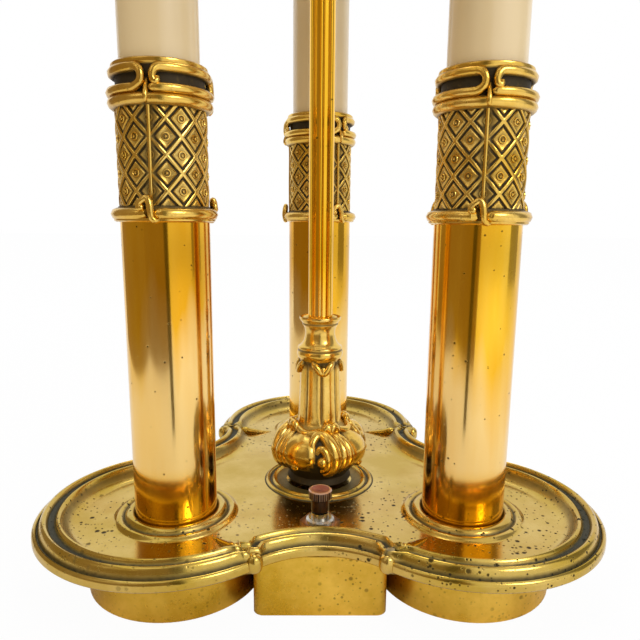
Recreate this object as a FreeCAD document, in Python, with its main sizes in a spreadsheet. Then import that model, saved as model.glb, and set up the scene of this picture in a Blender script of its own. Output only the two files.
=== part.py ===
# Bouillotte lamp: a trefoil brass tray base carries three candle columns round a reeded
# centre rod, on which a painted metal shade slides, turns and is clamped by a winged key.
# Millimetres, +Z up, origin on the floor under the centre rod. The switch faces -Y.
import FreeCAD, Part
import math
import os
import re
import Sketcher

doc = FreeCAD.newDocument("BouillotteLamp")
sheet = doc.addObject("Spreadsheet::Sheet", "Sizes")

# Driving dimensions: (name, value)
SIZES = [
    # Base plan: lobes are round the columns, bridges are the hollow arcs between lobes
    ("col_ring", 79.0), ("lobe_rad", 63.5), ("waist", 77.0),
    # Base heights
    ("floor_top", 30.5), ("floor_thick", 2.5), ("felt_thick", 1.5), ("plate_thick", 1.5),
    ("skirt_lift", 0.4), ("skirt_wall", 2.5), ("drum_rad", 41.0),
    ("face_half", 29.0), ("face_out", 75.4), ("core_rad", 55.6), ("panel_gap", 0.3),
    # Rim moulding: widths inwards from the lip, rises above the tray floor
    ("lip_width", 2.0), ("step_width", 1.6), ("bead_width", 3.2), ("channel_width", 3.4),
    ("inner_width", 2.6), ("cove_width", 4.0), ("lip_drop", 1.0), ("lip_rise", 3.2),
    ("bead_rise", 6.9), ("channel_rise", 4.6), ("inner_rise", 6.5), ("cove_rise", 5.2),
    ("land_inset", 3.4), ("spur_rad", 2.3), ("spur_tip", 0.4), ("spur_long", 22.0),
    ("nub_rad", 2.1),
    # Seats on the tray
    ("seat_rise", 3.0), ("seat_foot", 28.0), ("seat_crown", 22.4), ("seat_gap", 0.5),
    ("ring_out", 30.5), ("ring_in", 25.0), ("ring_rise", 1.3), ("ring_width", 2.4),
    # Columns
    ("tube_rad", 19.05), ("tube_wall", 1.2), ("tube_top", 167.0), ("spigot", 15.0),
    ("spigot_gap", 0.12), ("band_rad", 18.7), ("band_low", 174.2), ("band_high", 212.0),
    ("low_ring", 22.7), ("mid_ring", 22.2), ("top_ring", 21.0), ("neck_rad", 19.0),
    ("mid_ring_z", 217.8), ("top_ring_z", 226.2), ("collar_top", 230.4), ("ledge_z", 200.0),
    ("ledge_rad", 13.0),
    # Candles, sockets and bulbs
    ("candle_rad", 16.57), ("candle_wall", 1.2), ("candle_top", 345.0), ("candle_gap", 0.2),
    ("socket_rad", 14.9), ("socket_long", 57.0), ("socket_deep", 35.0), ("socket_short", 2.0),
    ("socket_low", "=candle_top - socket_long"), ("socket_floor", "=candle_top - socket_deep"),
    ("shell_rad", 13.6), ("shell_wall", 0.4), ("cap_rad", 12.9), ("cap_long", 27.0),
    ("cap_gap", 2.5), ("contact_rad", 4.5), ("bulb_rad", 17.5), ("bulb_long", 94.0),
    ("glass_wall", 0.9), ("bulb_neck", 12.0),
    # Threaded pipes, nuts and leads
    ("pipe_rad", 5.14), ("pipe_bore", 3.2), ("pipe_low", 20.0), ("pipe_grip", 8.0),
    ("pipe_gap", 0.2), ("nut_flats", 15.0), ("nut_thick", 4.0), ("washer_rad", 14.8),
    ("washer_thick", 2.0), ("lead_rad", 1.2), ("lead_z", 16.0), ("lead_bend", 7.0), ("lead_gap", 0.2),
    # Bottom panel screws
    ("boss_rad", 4.5), ("boss_out", 27.0), ("boss_turn", 60.0), ("screw_rad", 1.6),
    ("screw_head", 3.5), ("screw_head_h", 1.2), ("screw_long", 12.0), ("screw_gap", 0.2),
    # Cord inlet in the back of the skirt
    ("inlet_rad", 6.0), ("inlet_bore", 3.6), ("inlet_z", 13.0), ("inlet_out", 1.5),
    ("inlet_long", 7.0),
    # Centre stem
    ("foot_rad", 18.0), ("bulge_rad", 25.0), ("bulge_z", 47.0), ("bulge_top", 61.5),
    ("neck_foot", 11.2), ("neck_head", 10.1), ("neck_top", 97.0), ("flute_depth", 0.75),
    ("cup_ring", 12.0), ("cup_waist", 7.6), ("cup_lip", 10.7), ("cup_top", 119.6),
    ("rod_rad", 6.25), ("rod_low", 109.0), ("rod_top", 640.0), ("rod_bore", 3.4),
    ("reed_depth", 0.7), ("rod_gap", 0.2), ("finial_high", 34.0), ("finial_rad", 10.5),
    # Switch
    ("switch_out", 52.0), ("hex_corner", 9.3), ("hex_thick", 2.4), ("dome_rad", 6.7),
    ("dome_thick", 1.7), ("bush_rad", 4.0), ("bush_top", 37.2), ("switch_rad", 14.0),
    ("switch_low", 12.0), ("shaft_rad", 2.0), ("shaft_gap", 0.05), ("knob_low", 37.6),
    ("barrel_rad", 4.1), ("barrel_top", 43.4), ("head_rad", 5.3), ("head_top", 48.2),
    ("dish_depth", 0.9), ("knurl_depth", 0.35),
    # Shade, spider, hub and key
    ("shoulder", 500.0), ("shade_drop", 125.0), ("shade_rise", 20.0), ("hub_drop", 24.0),
    ("spigot_rise", 11.0), ("key_drop", 12.0), ("shade_low", "=shoulder - shade_drop"),
    ("shade_high", "=shoulder + shade_rise"), ("hub_low", "=shoulder - hub_drop"),
    ("spigot_top", "=shoulder + spigot_rise"), ("key_z", "=shoulder - key_drop"),
    ("shade_foot", 178.0), ("shade_head", 118.0), ("shade_wall", 0.9), ("roll_rad", 1.7),
    ("hub_rad", 11.0), ("hub_bore_gap", 0.08), ("spigot_rad", 8.6),
    ("turn_gap", 0.06), ("spider_rad", 14.0), ("spider_thick", 3.0), ("wire_rad", 1.9),
    ("wire_gap", 0.3), ("ring_nut_rad", 12.4), ("ring_nut_high", 5.0), ("ring_nut_gap", 0.3),
    ("boss_long", 16.0), ("key_boss", 5.2), ("key_rad", 2.4),
    ("key_gap", 0.05), ("key_long", 36.0), ("wing_span", 9.0), ("wing_rad", 4.4),
    ("wing_thick", 2.4),
]
for row, (name, value) in enumerate(SIZES, start=1):
    sheet.set("A%d" % row, name)
    sheet.set("B%d" % row, str(value))
    sheet.setAlias("B%d" % row, name)
doc.recompute()

ALIASES = {name for name, _ in SIZES}
LOBES = {"left": 210, "right": 330, "back": 90}
BRIDGES = {"front": 270, "right": 30, "left": 150}
FLUTES = 8
REEDS = 8
KNURLS = 18
made = []


def ref(text):
    """The text of an expression with each size's name pointing into the sheet."""
    return re.sub(r"[a-z_]+", lambda m: "Sizes." + m.group(0) if m.group(0) in ALIASES else m.group(0), text)


def num(text):
    """An expression's value now."""
    return float(sheet.evalExpression(ref(text)))


def bind(obj, **cells):
    """Ties properties of obj to expressions; x, y and z are its place."""
    for prop, text in cells.items():
        target = "Placement.Base." + prop if prop in ("x", "y", "z") else prop
        obj.setExpression(target, ref(text))
    return obj


def keep(obj, label):
    """Marks obj as a piece that is written out."""
    obj.Label = label
    made.append(obj)
    return obj


def across(side):
    """The expressions for a column's place."""
    return {"x": "col_ring * cos(%d)" % LOBES[side], "y": "col_ring * sin(%d)" % LOBES[side]}


def plane(body, role):
    """One of a body's own origin planes."""
    return next(f for f in body.Origin.OriginFeatures if f.Role == role)


def arc_between(start, end, radius, side):
    """The short arc from start to end, bulging to the left (1) or right (-1) of the way."""
    chord = end - start
    middle = start + chord * 0.5
    normal = FreeCAD.Vector(-chord.y, chord.x, 0).normalize()
    sag = math.sqrt(max(radius ** 2 - (chord.Length / 2) ** 2, 0.0))
    centre = middle - normal * (sag * side)
    through = centre + normal * (radius * side)
    return Part.Arc(start, through, end).toShape().Curve, Part.Arc(start, through, end)


def outline(sketch, corners):
    """Draws a closed outline. A corner is (across, up) or (across, up, radius, side), where
    the last two make the line that arrives there an arc. Every size is an expression."""
    points = [FreeCAD.Vector(num(c[0]), num(c[1]), 0) for c in corners]
    for i, corner in enumerate(corners):
        nxt = corners[(i + 1) % len(corners)]
        start, end = points[i], points[(i + 1) % len(corners)]
        if len(nxt) == 4:
            arc = arc_between(start, end, num(nxt[2]), nxt[3])[1]
            circle = arc.toShape().Curve
            first, last = arc.toShape().ParameterRange
            sketch.addGeometry(Part.ArcOfCircle(circle, first, last) if circle.Axis.z > 0 else
                               Part.ArcOfCircle(Part.Circle(circle.Center, FreeCAD.Vector(0, 0, 1), circle.Radius),
                                                *ccw(circle.Center, end, start)), False)
        else:
            sketch.addGeometry(Part.LineSegment(start, end), False)
    ends = [arc_ends(sketch, i, points[i]) for i in range(len(corners))]
    for i, corner in enumerate(corners):
        before = (i - 1) % len(corners)
        sketch.addConstraint(Sketcher.Constraint("Coincident", before, ends[before][1], i, ends[i][0]))
        for kind, axis, text in (("DistanceX", -2, corner[0]), ("DistanceY", -1, corner[1])):
            if text == "0":
                sketch.addConstraint(Sketcher.Constraint("PointOnObject", i, ends[i][0], axis))
                continue
            n = sketch.addConstraint(Sketcher.Constraint(kind, -1, 1, i, ends[i][0], num(text)))
            sketch.setExpression("Constraints[%d]" % n, ref(text))
        if len(corner) == 4:
            n = sketch.addConstraint(Sketcher.Constraint("Radius", before, num(corner[2])))
            sketch.setExpression("Constraints[%d]" % n, ref(corner[2]))


def ccw(centre, a, b):
    """Start and end angles of the anticlockwise arc from a to b."""
    first = math.atan2(a.y - centre.y, a.x - centre.x)
    last = math.atan2(b.y - centre.y, b.x - centre.x)
    return first, last if last > first else last + 2 * math.pi


def arc_ends(sketch, i, start):
    """Which end of geometry i is its start on the outline, and which its end."""
    return (1, 2) if (sketch.getPoint(i, 1) - start).Length < 1e-4 else (2, 1)


def new_sketch(body, name, role):
    """A sketch on one of a body's own planes."""
    sketch = body.newObject("Sketcher::SketchObject", name)
    sketch.AttachmentSupport = (plane(body, role), [""])
    sketch.MapMode = "FlatFace"
    return sketch


def turned(label, corners, **place):
    """A body turned round its own upright axis from an outline of (radius, height)."""
    body = doc.addObject("PartDesign::Body", label + "_body")
    sketch = new_sketch(body, label + "_outline", "XZ_Plane")
    outline(sketch, corners)
    spun = body.newObject("PartDesign::Revolution", label + "_turned")
    spun.Profile = sketch
    spun.ReferenceAxis = (sketch, ["V_Axis"])
    spun.Angle = 360
    bind(body, **place)
    doc.recompute()
    return keep(body, label)


def flute(body, name, count, low, high, section):
    """Cuts count upright grooves of a round section (distance from the axis, radius)."""
    sketch = new_sketch(body, name + "_section", "XY_Plane")
    n = sketch.addGeometry(Part.Circle(FreeCAD.Vector(num(section[0]), 0, 0), FreeCAD.Vector(0, 0, 1), num(section[1])))
    sketch.addConstraint(Sketcher.Constraint("PointOnObject", n, 3, -1))
    for kind, text in (("DistanceX", section[0]), ("Radius", section[1])):
        where = (-1, 1, n, 3) if kind == "DistanceX" else (n,)
        c = sketch.addConstraint(Sketcher.Constraint(kind, *where, num(text)))
        sketch.setExpression("Constraints[%d]" % c, ref(text))
    sketch.setExpression("AttachmentOffset.Base.z", ref(low))
    before = body.Shape.Volume
    cut = body.newObject("PartDesign::Pocket", name)
    cut.Profile = sketch
    cut.Reversed = True
    cut.setExpression("Length", ref("(%s) - (%s)" % (high, low)))
    doc.recompute()
    fan = body.newObject("PartDesign::PolarPattern", name + "_fan")
    fan.Originals = [cut]
    fan.Axis = (sketch, ["N_Axis"])
    fan.Angle = 360
    fan.Occurrences = count
    body.Tip = fan
    doc.recompute()
    if not body.Shape.Volume < before:
        raise ValueError(name + " cut nothing")


def cylinder(name, radius, height, **place):
    """A plain cylinder whose radius and height are expressions."""
    return bind(doc.addObject("Part::Cylinder", name), Radius=radius, Height=height, **place)


def cut(name, base, tool):
    """base less tool."""
    made_cut = doc.addObject("Part::Cut", name)
    made_cut.Base, made_cut.Tool = base, tool
    return made_cut


def fuse(name, shapes):
    """Several shapes made one."""
    joined = doc.addObject("Part::MultiFuse", name)
    joined.Shapes = shapes
    return joined


def group(name, shapes):
    """Several separate solids in one piece."""
    several = doc.addObject("Part::Compound", name)
    several.Links = shapes
    return several


def hex_nut(name, flats, thick, bore, **place):
    """A plain hexagon nut."""
    prism = bind(doc.addObject("Part::Prism", name + "_blank"), Circumradius=flats + " / 2 / cos(30)",
                 Height=thick, **place)
    prism.Polygon = 6
    return cut(name, prism, cylinder(name + "_bore", bore, thick, **place))


def solid_of(name, shape, label):
    """A piece whose shape is worked out directly from the sheet's values."""
    feature = doc.addObject("Part::Feature", name)
    feature.Shape = shape
    return keep(feature, label)


def at(angle, out, z=0.0):
    """A point out from the lamp's axis at a compass angle in degrees."""
    return FreeCAD.Vector(out * math.cos(math.radians(angle)), out * math.sin(math.radians(angle)), z)


UP = FreeCAD.Vector(0, 0, 1)


# The trefoil plan: lobe arcs meet the hollow bridge arcs without a corner
def bridge_radius():
    """The bridge arcs' radius at the lip, where lobe and bridge run into each other."""
    half = num("col_ring * sin(60)")
    deep = num("waist - col_ring / 2")
    lobe = num("lobe_rad")
    return (half ** 2 + deep ** 2 - lobe ** 2) / (2 * (lobe - deep))


def bridge_centre():
    """How far from the axis the bridge arcs' centres are."""
    return num("waist") + bridge_radius()


def bridge_half():
    """Half the angle that a bridge arc turns through, in degrees."""
    return math.degrees(math.atan2(num("col_ring * sin(60)"), bridge_centre() - num("col_ring / 2")))


def lobe_half():
    """Half the angle that a lobe arc turns through, in degrees."""
    return 60 + bridge_half()


def meeting(side, turn):
    """Centre of a lobe, and the direction in which it runs into the bridge on one side of it."""
    return at(LOBES[side], num("col_ring")), LOBES[side] + turn * lobe_half()


def trefoil_face(inset, z):
    """The base's plan, set in from the lip."""
    edges = []
    lobe, bridge = num("lobe_rad") - inset, bridge_radius() + inset
    for side, angle in LOBES.items():
        centre = at(angle, num("col_ring"))
        ends = [centre + at(angle + k * lobe_half(), lobe, z) for k in (-1, 0, 1)]
        edges.append(Part.Arc(*ends).toShape())
        hollow = at(angle + 60, bridge_centre())
        ends = [hollow + at(angle + 240 + k * bridge_half(), bridge, z) for k in (1, 0, -1)]
        edges.append(Part.Arc(*ends).toShape())
    return Part.Face(Part.Wire(Part.__sortEdges__(edges)))


def rim_section():
    """The rim's section as (inset from the lip, height) lines and arcs."""
    top = num("floor_top")
    lip, step, bead, channel, inner, cove = (num(w + "_width") for w in
                                             ("lip", "step", "bead", "channel", "inner", "cove"))
    lip_z, bead_z, channel_z, inner_z, cove_z = (top + num(w + "_rise") for w in
                                                 ("lip", "bead", "channel", "inner", "cove"))
    ends, insets = [], 0.0
    for width in (lip, step, bead, channel, inner, cove):
        insets += width
        ends.append(insets)
    soft = lip * 0.45
    return [(0, top - num("lip_drop")), (0, lip_z - soft), (soft, lip_z), (lip, lip_z),
            (lip + step * 0.4, lip_z - step * 0.2), (ends[1], bead_z - bead * 0.26),
            (ends[1] + bead * 0.25, bead_z), (ends[2] - bead * 0.25, bead_z), (ends[2], bead_z - bead * 0.26),
            (ends[2] + channel * 0.2, channel_z), (ends[3] - channel * 0.2, channel_z),
            (ends[3], inner_z - inner * 0.25), (ends[3] + inner * 0.3, inner_z), (ends[4] - inner * 0.3, inner_z),
            (ends[4], cove_z), (ends[4] + cove * 0.35, top + (cove_z - top) * 0.35), (ends[5], top),
            (ends[5], top - num("floor_thick")), (num("land_inset"), top - num("floor_thick"))]


def rim_face(near, sign):
    """The rim's section stood on the XZ plane: near is the lip's distance from the turning axis."""
    points = [FreeCAD.Vector(near + sign * inset, 0, height) for inset, height in rim_section()]
    return Part.Face(Part.makePolygon(points + points[:1]))


def sweep_round(face, centre, first, last):
    """The section turned about an upright axis at centre, from one direction to another."""
    turned_face = face.copy()
    turned_face.rotate(FreeCAD.Vector(0, 0, 0), UP, first)
    turned_face.translate(centre)
    return turned_face.revolve(centre, UP, last - first)


def ring_section(corners, centre):
    """A turned ring round an upright axis at centre, from corners of (radius, height)."""
    points = [FreeCAD.Vector(radius, 0, height) for radius, height in corners]
    ring = Part.Face(Part.makePolygon(points + points[:1])).revolve(FreeCAD.Vector(0, 0, 0), UP, 360)
    ring.translate(centre)
    return ring


def boss_place(side):
    """Where a bottom panel screw is."""
    return at(LOBES[side], num("col_ring")) + at(LOBES[side] + num("boss_turn"), num("boss_out"))


def tray_shape():
    """The cast tray: floor, moulded rim, spurs, column seats, stem rings and screw bosses."""
    top, thick = num("floor_top"), num("floor_thick")
    under = top - thick
    width = sum(num(w + "_width") for w in ("lip", "step", "bead", "channel", "inner", "cove"))
    solids = [trefoil_face(width - 0.01, under).extrude(UP * thick)]
    lobe_face, bridge_face = rim_face(num("lobe_rad"), -1), rim_face(bridge_radius(), 1)
    for side, angle in LOBES.items():
        wide, narrow = lobe_half(), bridge_half()
        solids.append(sweep_round(lobe_face, at(angle, num("col_ring")), angle - wide, angle + wide))
        solids.append(sweep_round(bridge_face, at(angle + 60, bridge_centre()), angle + 240 - narrow, angle + 240 + narrow))
        for turn in (1, -1):
            solids += spur(side, turn)
        seat = [(num("tube_rad + seat_gap"), top - 0.5), (num("tube_rad + seat_gap"), top + num("seat_rise")),
                (num("seat_crown"), top + num("seat_rise")),
                (num("seat_crown * 0.5 + seat_foot * 0.5"), top + num("seat_rise") * 0.6),
                (num("seat_foot"), top), (num("seat_foot"), top - 0.5)]
        solids.append(ring_section(seat, at(angle, num("col_ring"))))
        boss = Part.makeCylinder(num("boss_rad"), under + 0.5 - num("felt_thick + plate_thick"))
        boss.translate(boss_place(side) + UP * num("felt_thick + plate_thick"))
        solids.append(boss)
    for edge in ("ring_out", "ring_in"):
        outer, half = num(edge), num("ring_width") / 2
        solids.append(ring_section([(outer, top - 0.5), (outer, top), (outer - half * 0.6, top + num("ring_rise")),
                                    (outer - half * 1.4, top + num("ring_rise")), (outer - 2 * half, top),
                                    (outer - 2 * half, top - 0.5)], FreeCAD.Vector(0, 0, 0)))
    tray = solids[0].multiFuse(solids[1:])
    holes = [(at(a, num("col_ring")), num("pipe_rad + pipe_gap")) for a in LOBES.values()]
    holes += [(FreeCAD.Vector(0, 0, 0), num("pipe_rad + pipe_gap")), (at(270, num("switch_out")), num("bush_rad + pipe_gap"))]
    drills = [Part.makeCylinder(r, thick + 4, c + UP * (under - 2)) for c, r in holes]
    deep = num("screw_long")
    drills += [Part.makeCylinder(num("screw_rad"), deep, boss_place(s) + UP * (num("felt_thick + plate_thick") - 0.5))
               for s in LOBES]
    return tray.cut(drills).removeSplitter()


def spur(side, turn):
    """At each lobe's end: a tapered rib that runs in over the floor, and an upright nub on the lip."""
    centre, direction = meeting(side, turn)
    top = num("floor_top")
    inset = sum(num(w + "_width") for w in ("lip", "step", "bead", "channel"))
    start = centre + at(direction, num("lobe_rad") - inset, top + num("cove_rise") * 0.45)
    aim = at(LOBES[side], num("col_ring") * 0.5, top)
    heading = FreeCAD.Vector(aim.x - start.x, aim.y - start.y, 0).normalize()
    heading.z = -num("cove_rise") * 0.4 / num("spur_long")
    rib = Part.makeCone(num("spur_rad"), num("spur_tip"), num("spur_long"), start, heading)
    nub_low = top - num("lip_drop")
    nub_at = centre + at(direction, num("lobe_rad - nub_rad * 0.35"), nub_low)
    nub_high = num("lip_drop + lip_rise")
    nub = Part.makeCylinder(num("nub_rad"), nub_high, nub_at)
    crown = Part.makeSphere(num("nub_rad"), nub_at + UP * nub_high)
    return [rib, nub.fuse(crown)]


solid_of("Tray", tray_shape(), "base_tray")


# The skirt: three drums joined by flat faces, open below and closed by the panel
def plan_of_drums(name, inset, low, high):
    """The skirt's plan as a solid between two heights, set in from its outside."""
    tall = "(%s) - (%s)" % (high, low)
    shapes = [cylinder(name + "_core", "core_rad - " + inset, tall, z=low)]
    for side in LOBES:
        shapes.append(cylinder("%s_drum_%s" % (name, side), "drum_rad - " + inset, tall, z=low, **across(side)))
    for side, angle in BRIDGES.items():
        face = doc.addObject("Part::Box", "%s_face_%s" % (name, side))
        bind(face, Length="face_out - " + inset, Width="2 * (face_half - %s)" % inset, Height=tall, z=low,
             x="(face_half - %s) * sin(%d)" % (inset, angle), y="-(face_half - %s) * cos(%d)" % (inset, angle))
        face.Placement.Rotation = FreeCAD.Rotation(UP, angle)
        shapes.append(face)
    return fuse(name, shapes)


under_floor = "floor_top - floor_thick"
skirt_block = plan_of_drums("skirt_block", "0 * skirt_wall", "skirt_lift", under_floor)
skirt_room = plan_of_drums("skirt_room", "skirt_wall", "skirt_lift", under_floor)
inlet_hole = cylinder("inlet_hole", "inlet_rad", "2 * inlet_rad + inlet_long", z="inlet_z",
                      y="col_ring + drum_rad - inlet_long")
inlet_hole.Placement.Rotation = FreeCAD.Rotation(FreeCAD.Vector(1, 0, 0), -90)
keep(cut("skirt", cut("skirt_shell", skirt_block, skirt_room), inlet_hole), "base_skirt")


def along_y(obj):
    """Lays an upright piece along +Y."""
    obj.Placement.Rotation = FreeCAD.Rotation(FreeCAD.Vector(1, 0, 0), -90)
    return obj


bushing = cut("bushing", cylinder("bushing_out", "inlet_rad", "inlet_long"), cylinder("bushing_in", "inlet_bore", "inlet_long"))
bind(bushing, y="col_ring + drum_rad + inlet_out - inlet_long", z="inlet_z")
keep(along_y(bushing), "cord_bushing")


def panel(name, low, high, holes, label):
    """A bottom panel inside the skirt with its screw holes."""
    plate = plan_of_drums(name, "(skirt_wall + panel_gap)", low, high)
    drills = []
    for side in LOBES:
        place = {
            "x": "col_ring * cos({0}) + boss_out * cos({0} + boss_turn)".format(LOBES[side]),
            "y": "col_ring * sin({0}) + boss_out * sin({0} + boss_turn)".format(LOBES[side]),
        }
        drills.append(cylinder("%s_hole_%s" % (name, side), holes, "(%s) - (%s)" % (high, low), z=low, **place))
    keep(cut(name + "_drilled", plate, fuse(name + "_holes", drills)), label)


panel("felt", "0 * felt_thick", "felt_thick", "screw_head + screw_gap * 3", "felt_pad")
panel("panel", "felt_thick", "felt_thick + plate_thick", "screw_rad + screw_gap", "bottom_plate")

screws = []
for side in LOBES:
    place = {
        "x": "col_ring * cos({0}) + boss_out * cos({0} + boss_turn)".format(LOBES[side]),
        "y": "col_ring * sin({0}) + boss_out * sin({0} + boss_turn)".format(LOBES[side]),
    }
    head = cylinder("screw_head_" + side, "screw_head", "screw_head_h", z="felt_thick - screw_head_h", **place)
    shank = cylinder("screw_shank_" + side, "screw_rad", "screw_long - plate_thick", z="felt_thick", **place)
    screws.append(fuse("screw_" + side, [head, shank]))
keep(group("screws", screws), "bottom_screws")


# Columns
def column(side):
    """One candle column, from its tube to its bulb."""
    place = across(side)
    base, room = "floor_top", "tube_rad - tube_wall"
    turned("column_tube_" + side, [(room, base), ("tube_rad", base), ("tube_rad", "tube_top"), (room, "tube_top")], **place)
    stub = room + " - spigot_gap"
    bore = "candle_rad + candle_gap"
    turned("collar_" + side, [
        ("ledge_rad", "tube_top - spigot"), (stub, "tube_top - spigot"), (stub, "tube_top"),
        ("low_ring - 1.6", "tube_top"), ("low_ring", "tube_top + 2.2"), ("low_ring", "band_low - 3"),
        ("low_ring - 1.8", "band_low - 0.8"), ("band_rad", "band_low"), ("band_rad", "band_high"),
        ("mid_ring - 2", "band_high + 1"), ("mid_ring - 1.4", "mid_ring_z - 3"), ("mid_ring", "mid_ring_z - 1.4"),
        ("mid_ring", "mid_ring_z + 1.2"), ("mid_ring - 1.4", "mid_ring_z + 2.6"),
        ("neck_rad", "mid_ring_z + 3.2"), ("neck_rad", "top_ring_z - 3"), ("top_ring - 1.2", "top_ring_z - 2.4"),
        ("top_ring", "top_ring_z - 1"), ("top_ring", "top_ring_z + 1"), ("top_ring - 1.2", "top_ring_z + 2.2"),
        ("neck_rad + 0.4", "top_ring_z + 2.6"), ("neck_rad + 0.4", "collar_top"), (bore, "collar_top"),
        (bore, "ledge_z"), ("ledge_rad", "ledge_z"),
    ], **place)
    turned("candle_sleeve_" + side, [("candle_rad - candle_wall", "ledge_z"), ("candle_rad", "ledge_z"),
                                     ("candle_rad", "candle_top"), ("candle_rad - candle_wall", "candle_top")], **place)
    socket_top = "candle_top - socket_short"
    turned("socket_body_" + side, [
        ("pipe_rad", "socket_low"), ("socket_rad - 3", "socket_low"), ("socket_rad", "socket_low + 3"),
        ("socket_rad", socket_top), ("shell_rad", socket_top), ("shell_rad", "socket_floor"),
        ("lead_rad * 2", "socket_floor"), ("lead_rad * 2", "socket_low + pipe_grip"), ("pipe_rad", "socket_low + pipe_grip"),
    ], **place)
    turned("socket_shell_" + side, [("shell_rad - shell_wall", "socket_floor"), ("shell_rad", "socket_floor"),
                                    ("shell_rad", socket_top), ("shell_rad - shell_wall", socket_top)], **place)
    cap_low = "candle_top - cap_long"
    turned("bulb_cap_" + side, [
        ("0", cap_low + " - cap_gap"), ("contact_rad", cap_low + " - cap_gap"), ("contact_rad + 3.5", cap_low),
        ("cap_rad", cap_low + " + 2"), ("cap_rad", "candle_top"), ("cap_rad - 1.2", "candle_top + 1.5"),
        ("0", "candle_top + 1.5")], **place)
    outside = [("bulb_neck", "candle_top + 1.5"), ("bulb_rad * 0.84", "candle_top + bulb_long * 0.13"),
               ("bulb_rad", "candle_top + bulb_long * 0.34"), ("bulb_rad * 0.93", "candle_top + bulb_long * 0.5"),
               ("bulb_rad * 0.62", "candle_top + bulb_long * 0.73"), ("bulb_rad * 0.3", "candle_top + bulb_long * 0.9"),
               ("bulb_rad * 0.12", "candle_top + bulb_long * 0.98")]
    inside = [(radius + " - glass_wall", height) for radius, height in outside]
    turned("bulb_glass_" + side, outside + [("0", "candle_top + bulb_long"),
                                            ("0", "candle_top + bulb_long * 0.98 - glass_wall")] + inside[::-1], **place)
    turned("column_pipe_" + side, [("pipe_bore", "pipe_low"), ("pipe_rad", "pipe_low"),
                                   ("pipe_rad", "socket_low + pipe_grip"), ("pipe_bore", "socket_low + pipe_grip")], **place)
    below = hex_nut("nut_low_" + side, "nut_flats", "nut_thick", "pipe_rad", z=under_floor + " - nut_thick", **place)
    above = hex_nut("nut_high_" + side, "nut_flats", "nut_thick", "pipe_rad", z="ledge_z + washer_thick", **place)
    disc = cut("disc_" + side, cylinder("disc_out_" + side, "washer_rad", "washer_thick", z="ledge_z", **place),
               cylinder("disc_in_" + side, "pipe_rad", "washer_thick", z="ledge_z", **place))
    keep(group("fasteners_" + side, [below, disc, above]), "column_fasteners_" + side)


for side in LOBES:
    column(side)


def lead_shape(side):
    """A lead from the socket down its pipe and under the floor to the switch."""
    top = at(LOBES[side], num("col_ring"), num("socket_low + pipe_grip"))
    body, reach = num("switch_rad"), num("switch_out") - num("switch_rad * 0.8")
    goal = at(270, reach if side != "back" else num("switch_out") - body, num("lead_z"))
    low = FreeCAD.Vector(top.x, top.y, num("lead_z"))
    way = FreeCAD.Vector(goal.x - low.x, goal.y - low.y, 0)
    short = body * 0.6 + num("lead_rad") if side != "back" else num("lead_gap")
    end = low + way.normalize() * (math.hypot(goal.x - low.x, goal.y - low.y) - short)
    bend = num("lead_bend")
    before, after = low + UP * bend, low + way * bend
    middle = low + (UP + way) * (bend * (1 - math.sqrt(0.5)))
    path = Part.Wire([Part.LineSegment(top, before).toShape(), Part.Arc(before, middle, after).toShape(),
                      Part.LineSegment(after, end).toShape()])
    section = Part.Wire(Part.makeCircle(num("lead_rad"), top, UP))
    return path.makePipeShell([section], True, False)


for side in LOBES:
    solid_of("Lead_" + side, lead_shape(side), "lead_" + side)

# Centre stem and rod
pipe_hole = "pipe_rad + pipe_gap"
stem = turned("stem_casting", [
    (pipe_hole, "floor_top"), ("foot_rad", "floor_top"), ("foot_rad", "floor_top + 3"),
    ("bulge_rad * 0.86", "bulge_z - 10.5"), ("bulge_rad * 0.97", "bulge_z - 5.5"), ("bulge_rad", "bulge_z"),
    ("bulge_rad * 0.93", "bulge_z + 5.5"), ("bulge_rad * 0.74", "bulge_z + 10.5"),
    ("neck_foot + 2.2", "bulge_top - 0.8"), ("neck_foot", "bulge_top + 1.8"), ("neck_head", "neck_top"),
    (pipe_hole, "neck_top")])
flute(stem, "neck_flutes", FLUTES, "bulge_top + 3", "neck_top", ("neck_foot + 1.6", "1.6 + flute_depth"))
turned("stem_cup", [
    (pipe_hole, "neck_top"), ("neck_head + 0.6", "neck_top"), ("neck_head + 1", "neck_top + 3.2"),
    ("cup_ring", "neck_top + 4.6"), ("cup_ring", "neck_top + 7.6"), ("cup_ring - 1.6", "neck_top + 9.2"),
    ("cup_waist + 0.8", "neck_top + 11.2"), ("cup_waist", "neck_top + 14.2"), ("cup_waist + 0.8", "neck_top + 17.4"),
    ("cup_lip", "cup_top - 2"), ("cup_lip", "cup_top"), ("rod_rad + rod_gap", "cup_top"),
    ("rod_rad + rod_gap", "rod_low"), (pipe_hole, "rod_low")])
turned("stem_pipe", [("pipe_bore", "pipe_low"), ("pipe_rad", "pipe_low"), ("pipe_rad", "rod_low"), ("pipe_bore", "rod_low")])
keep(hex_nut("stem_nut_solid", "nut_flats", "nut_thick", "pipe_rad", z=under_floor + " - nut_thick"), "stem_nut")
rod = turned("reeded_rod", [("rod_bore", "rod_low"), ("rod_rad", "rod_low"), ("rod_rad", "rod_top"), ("rod_bore", "rod_top")])
flute(rod, "rod_reeds", REEDS, "cup_top - 1", "rod_top", ("rod_rad + 0.5", "0.5 + reed_depth"))
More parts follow.
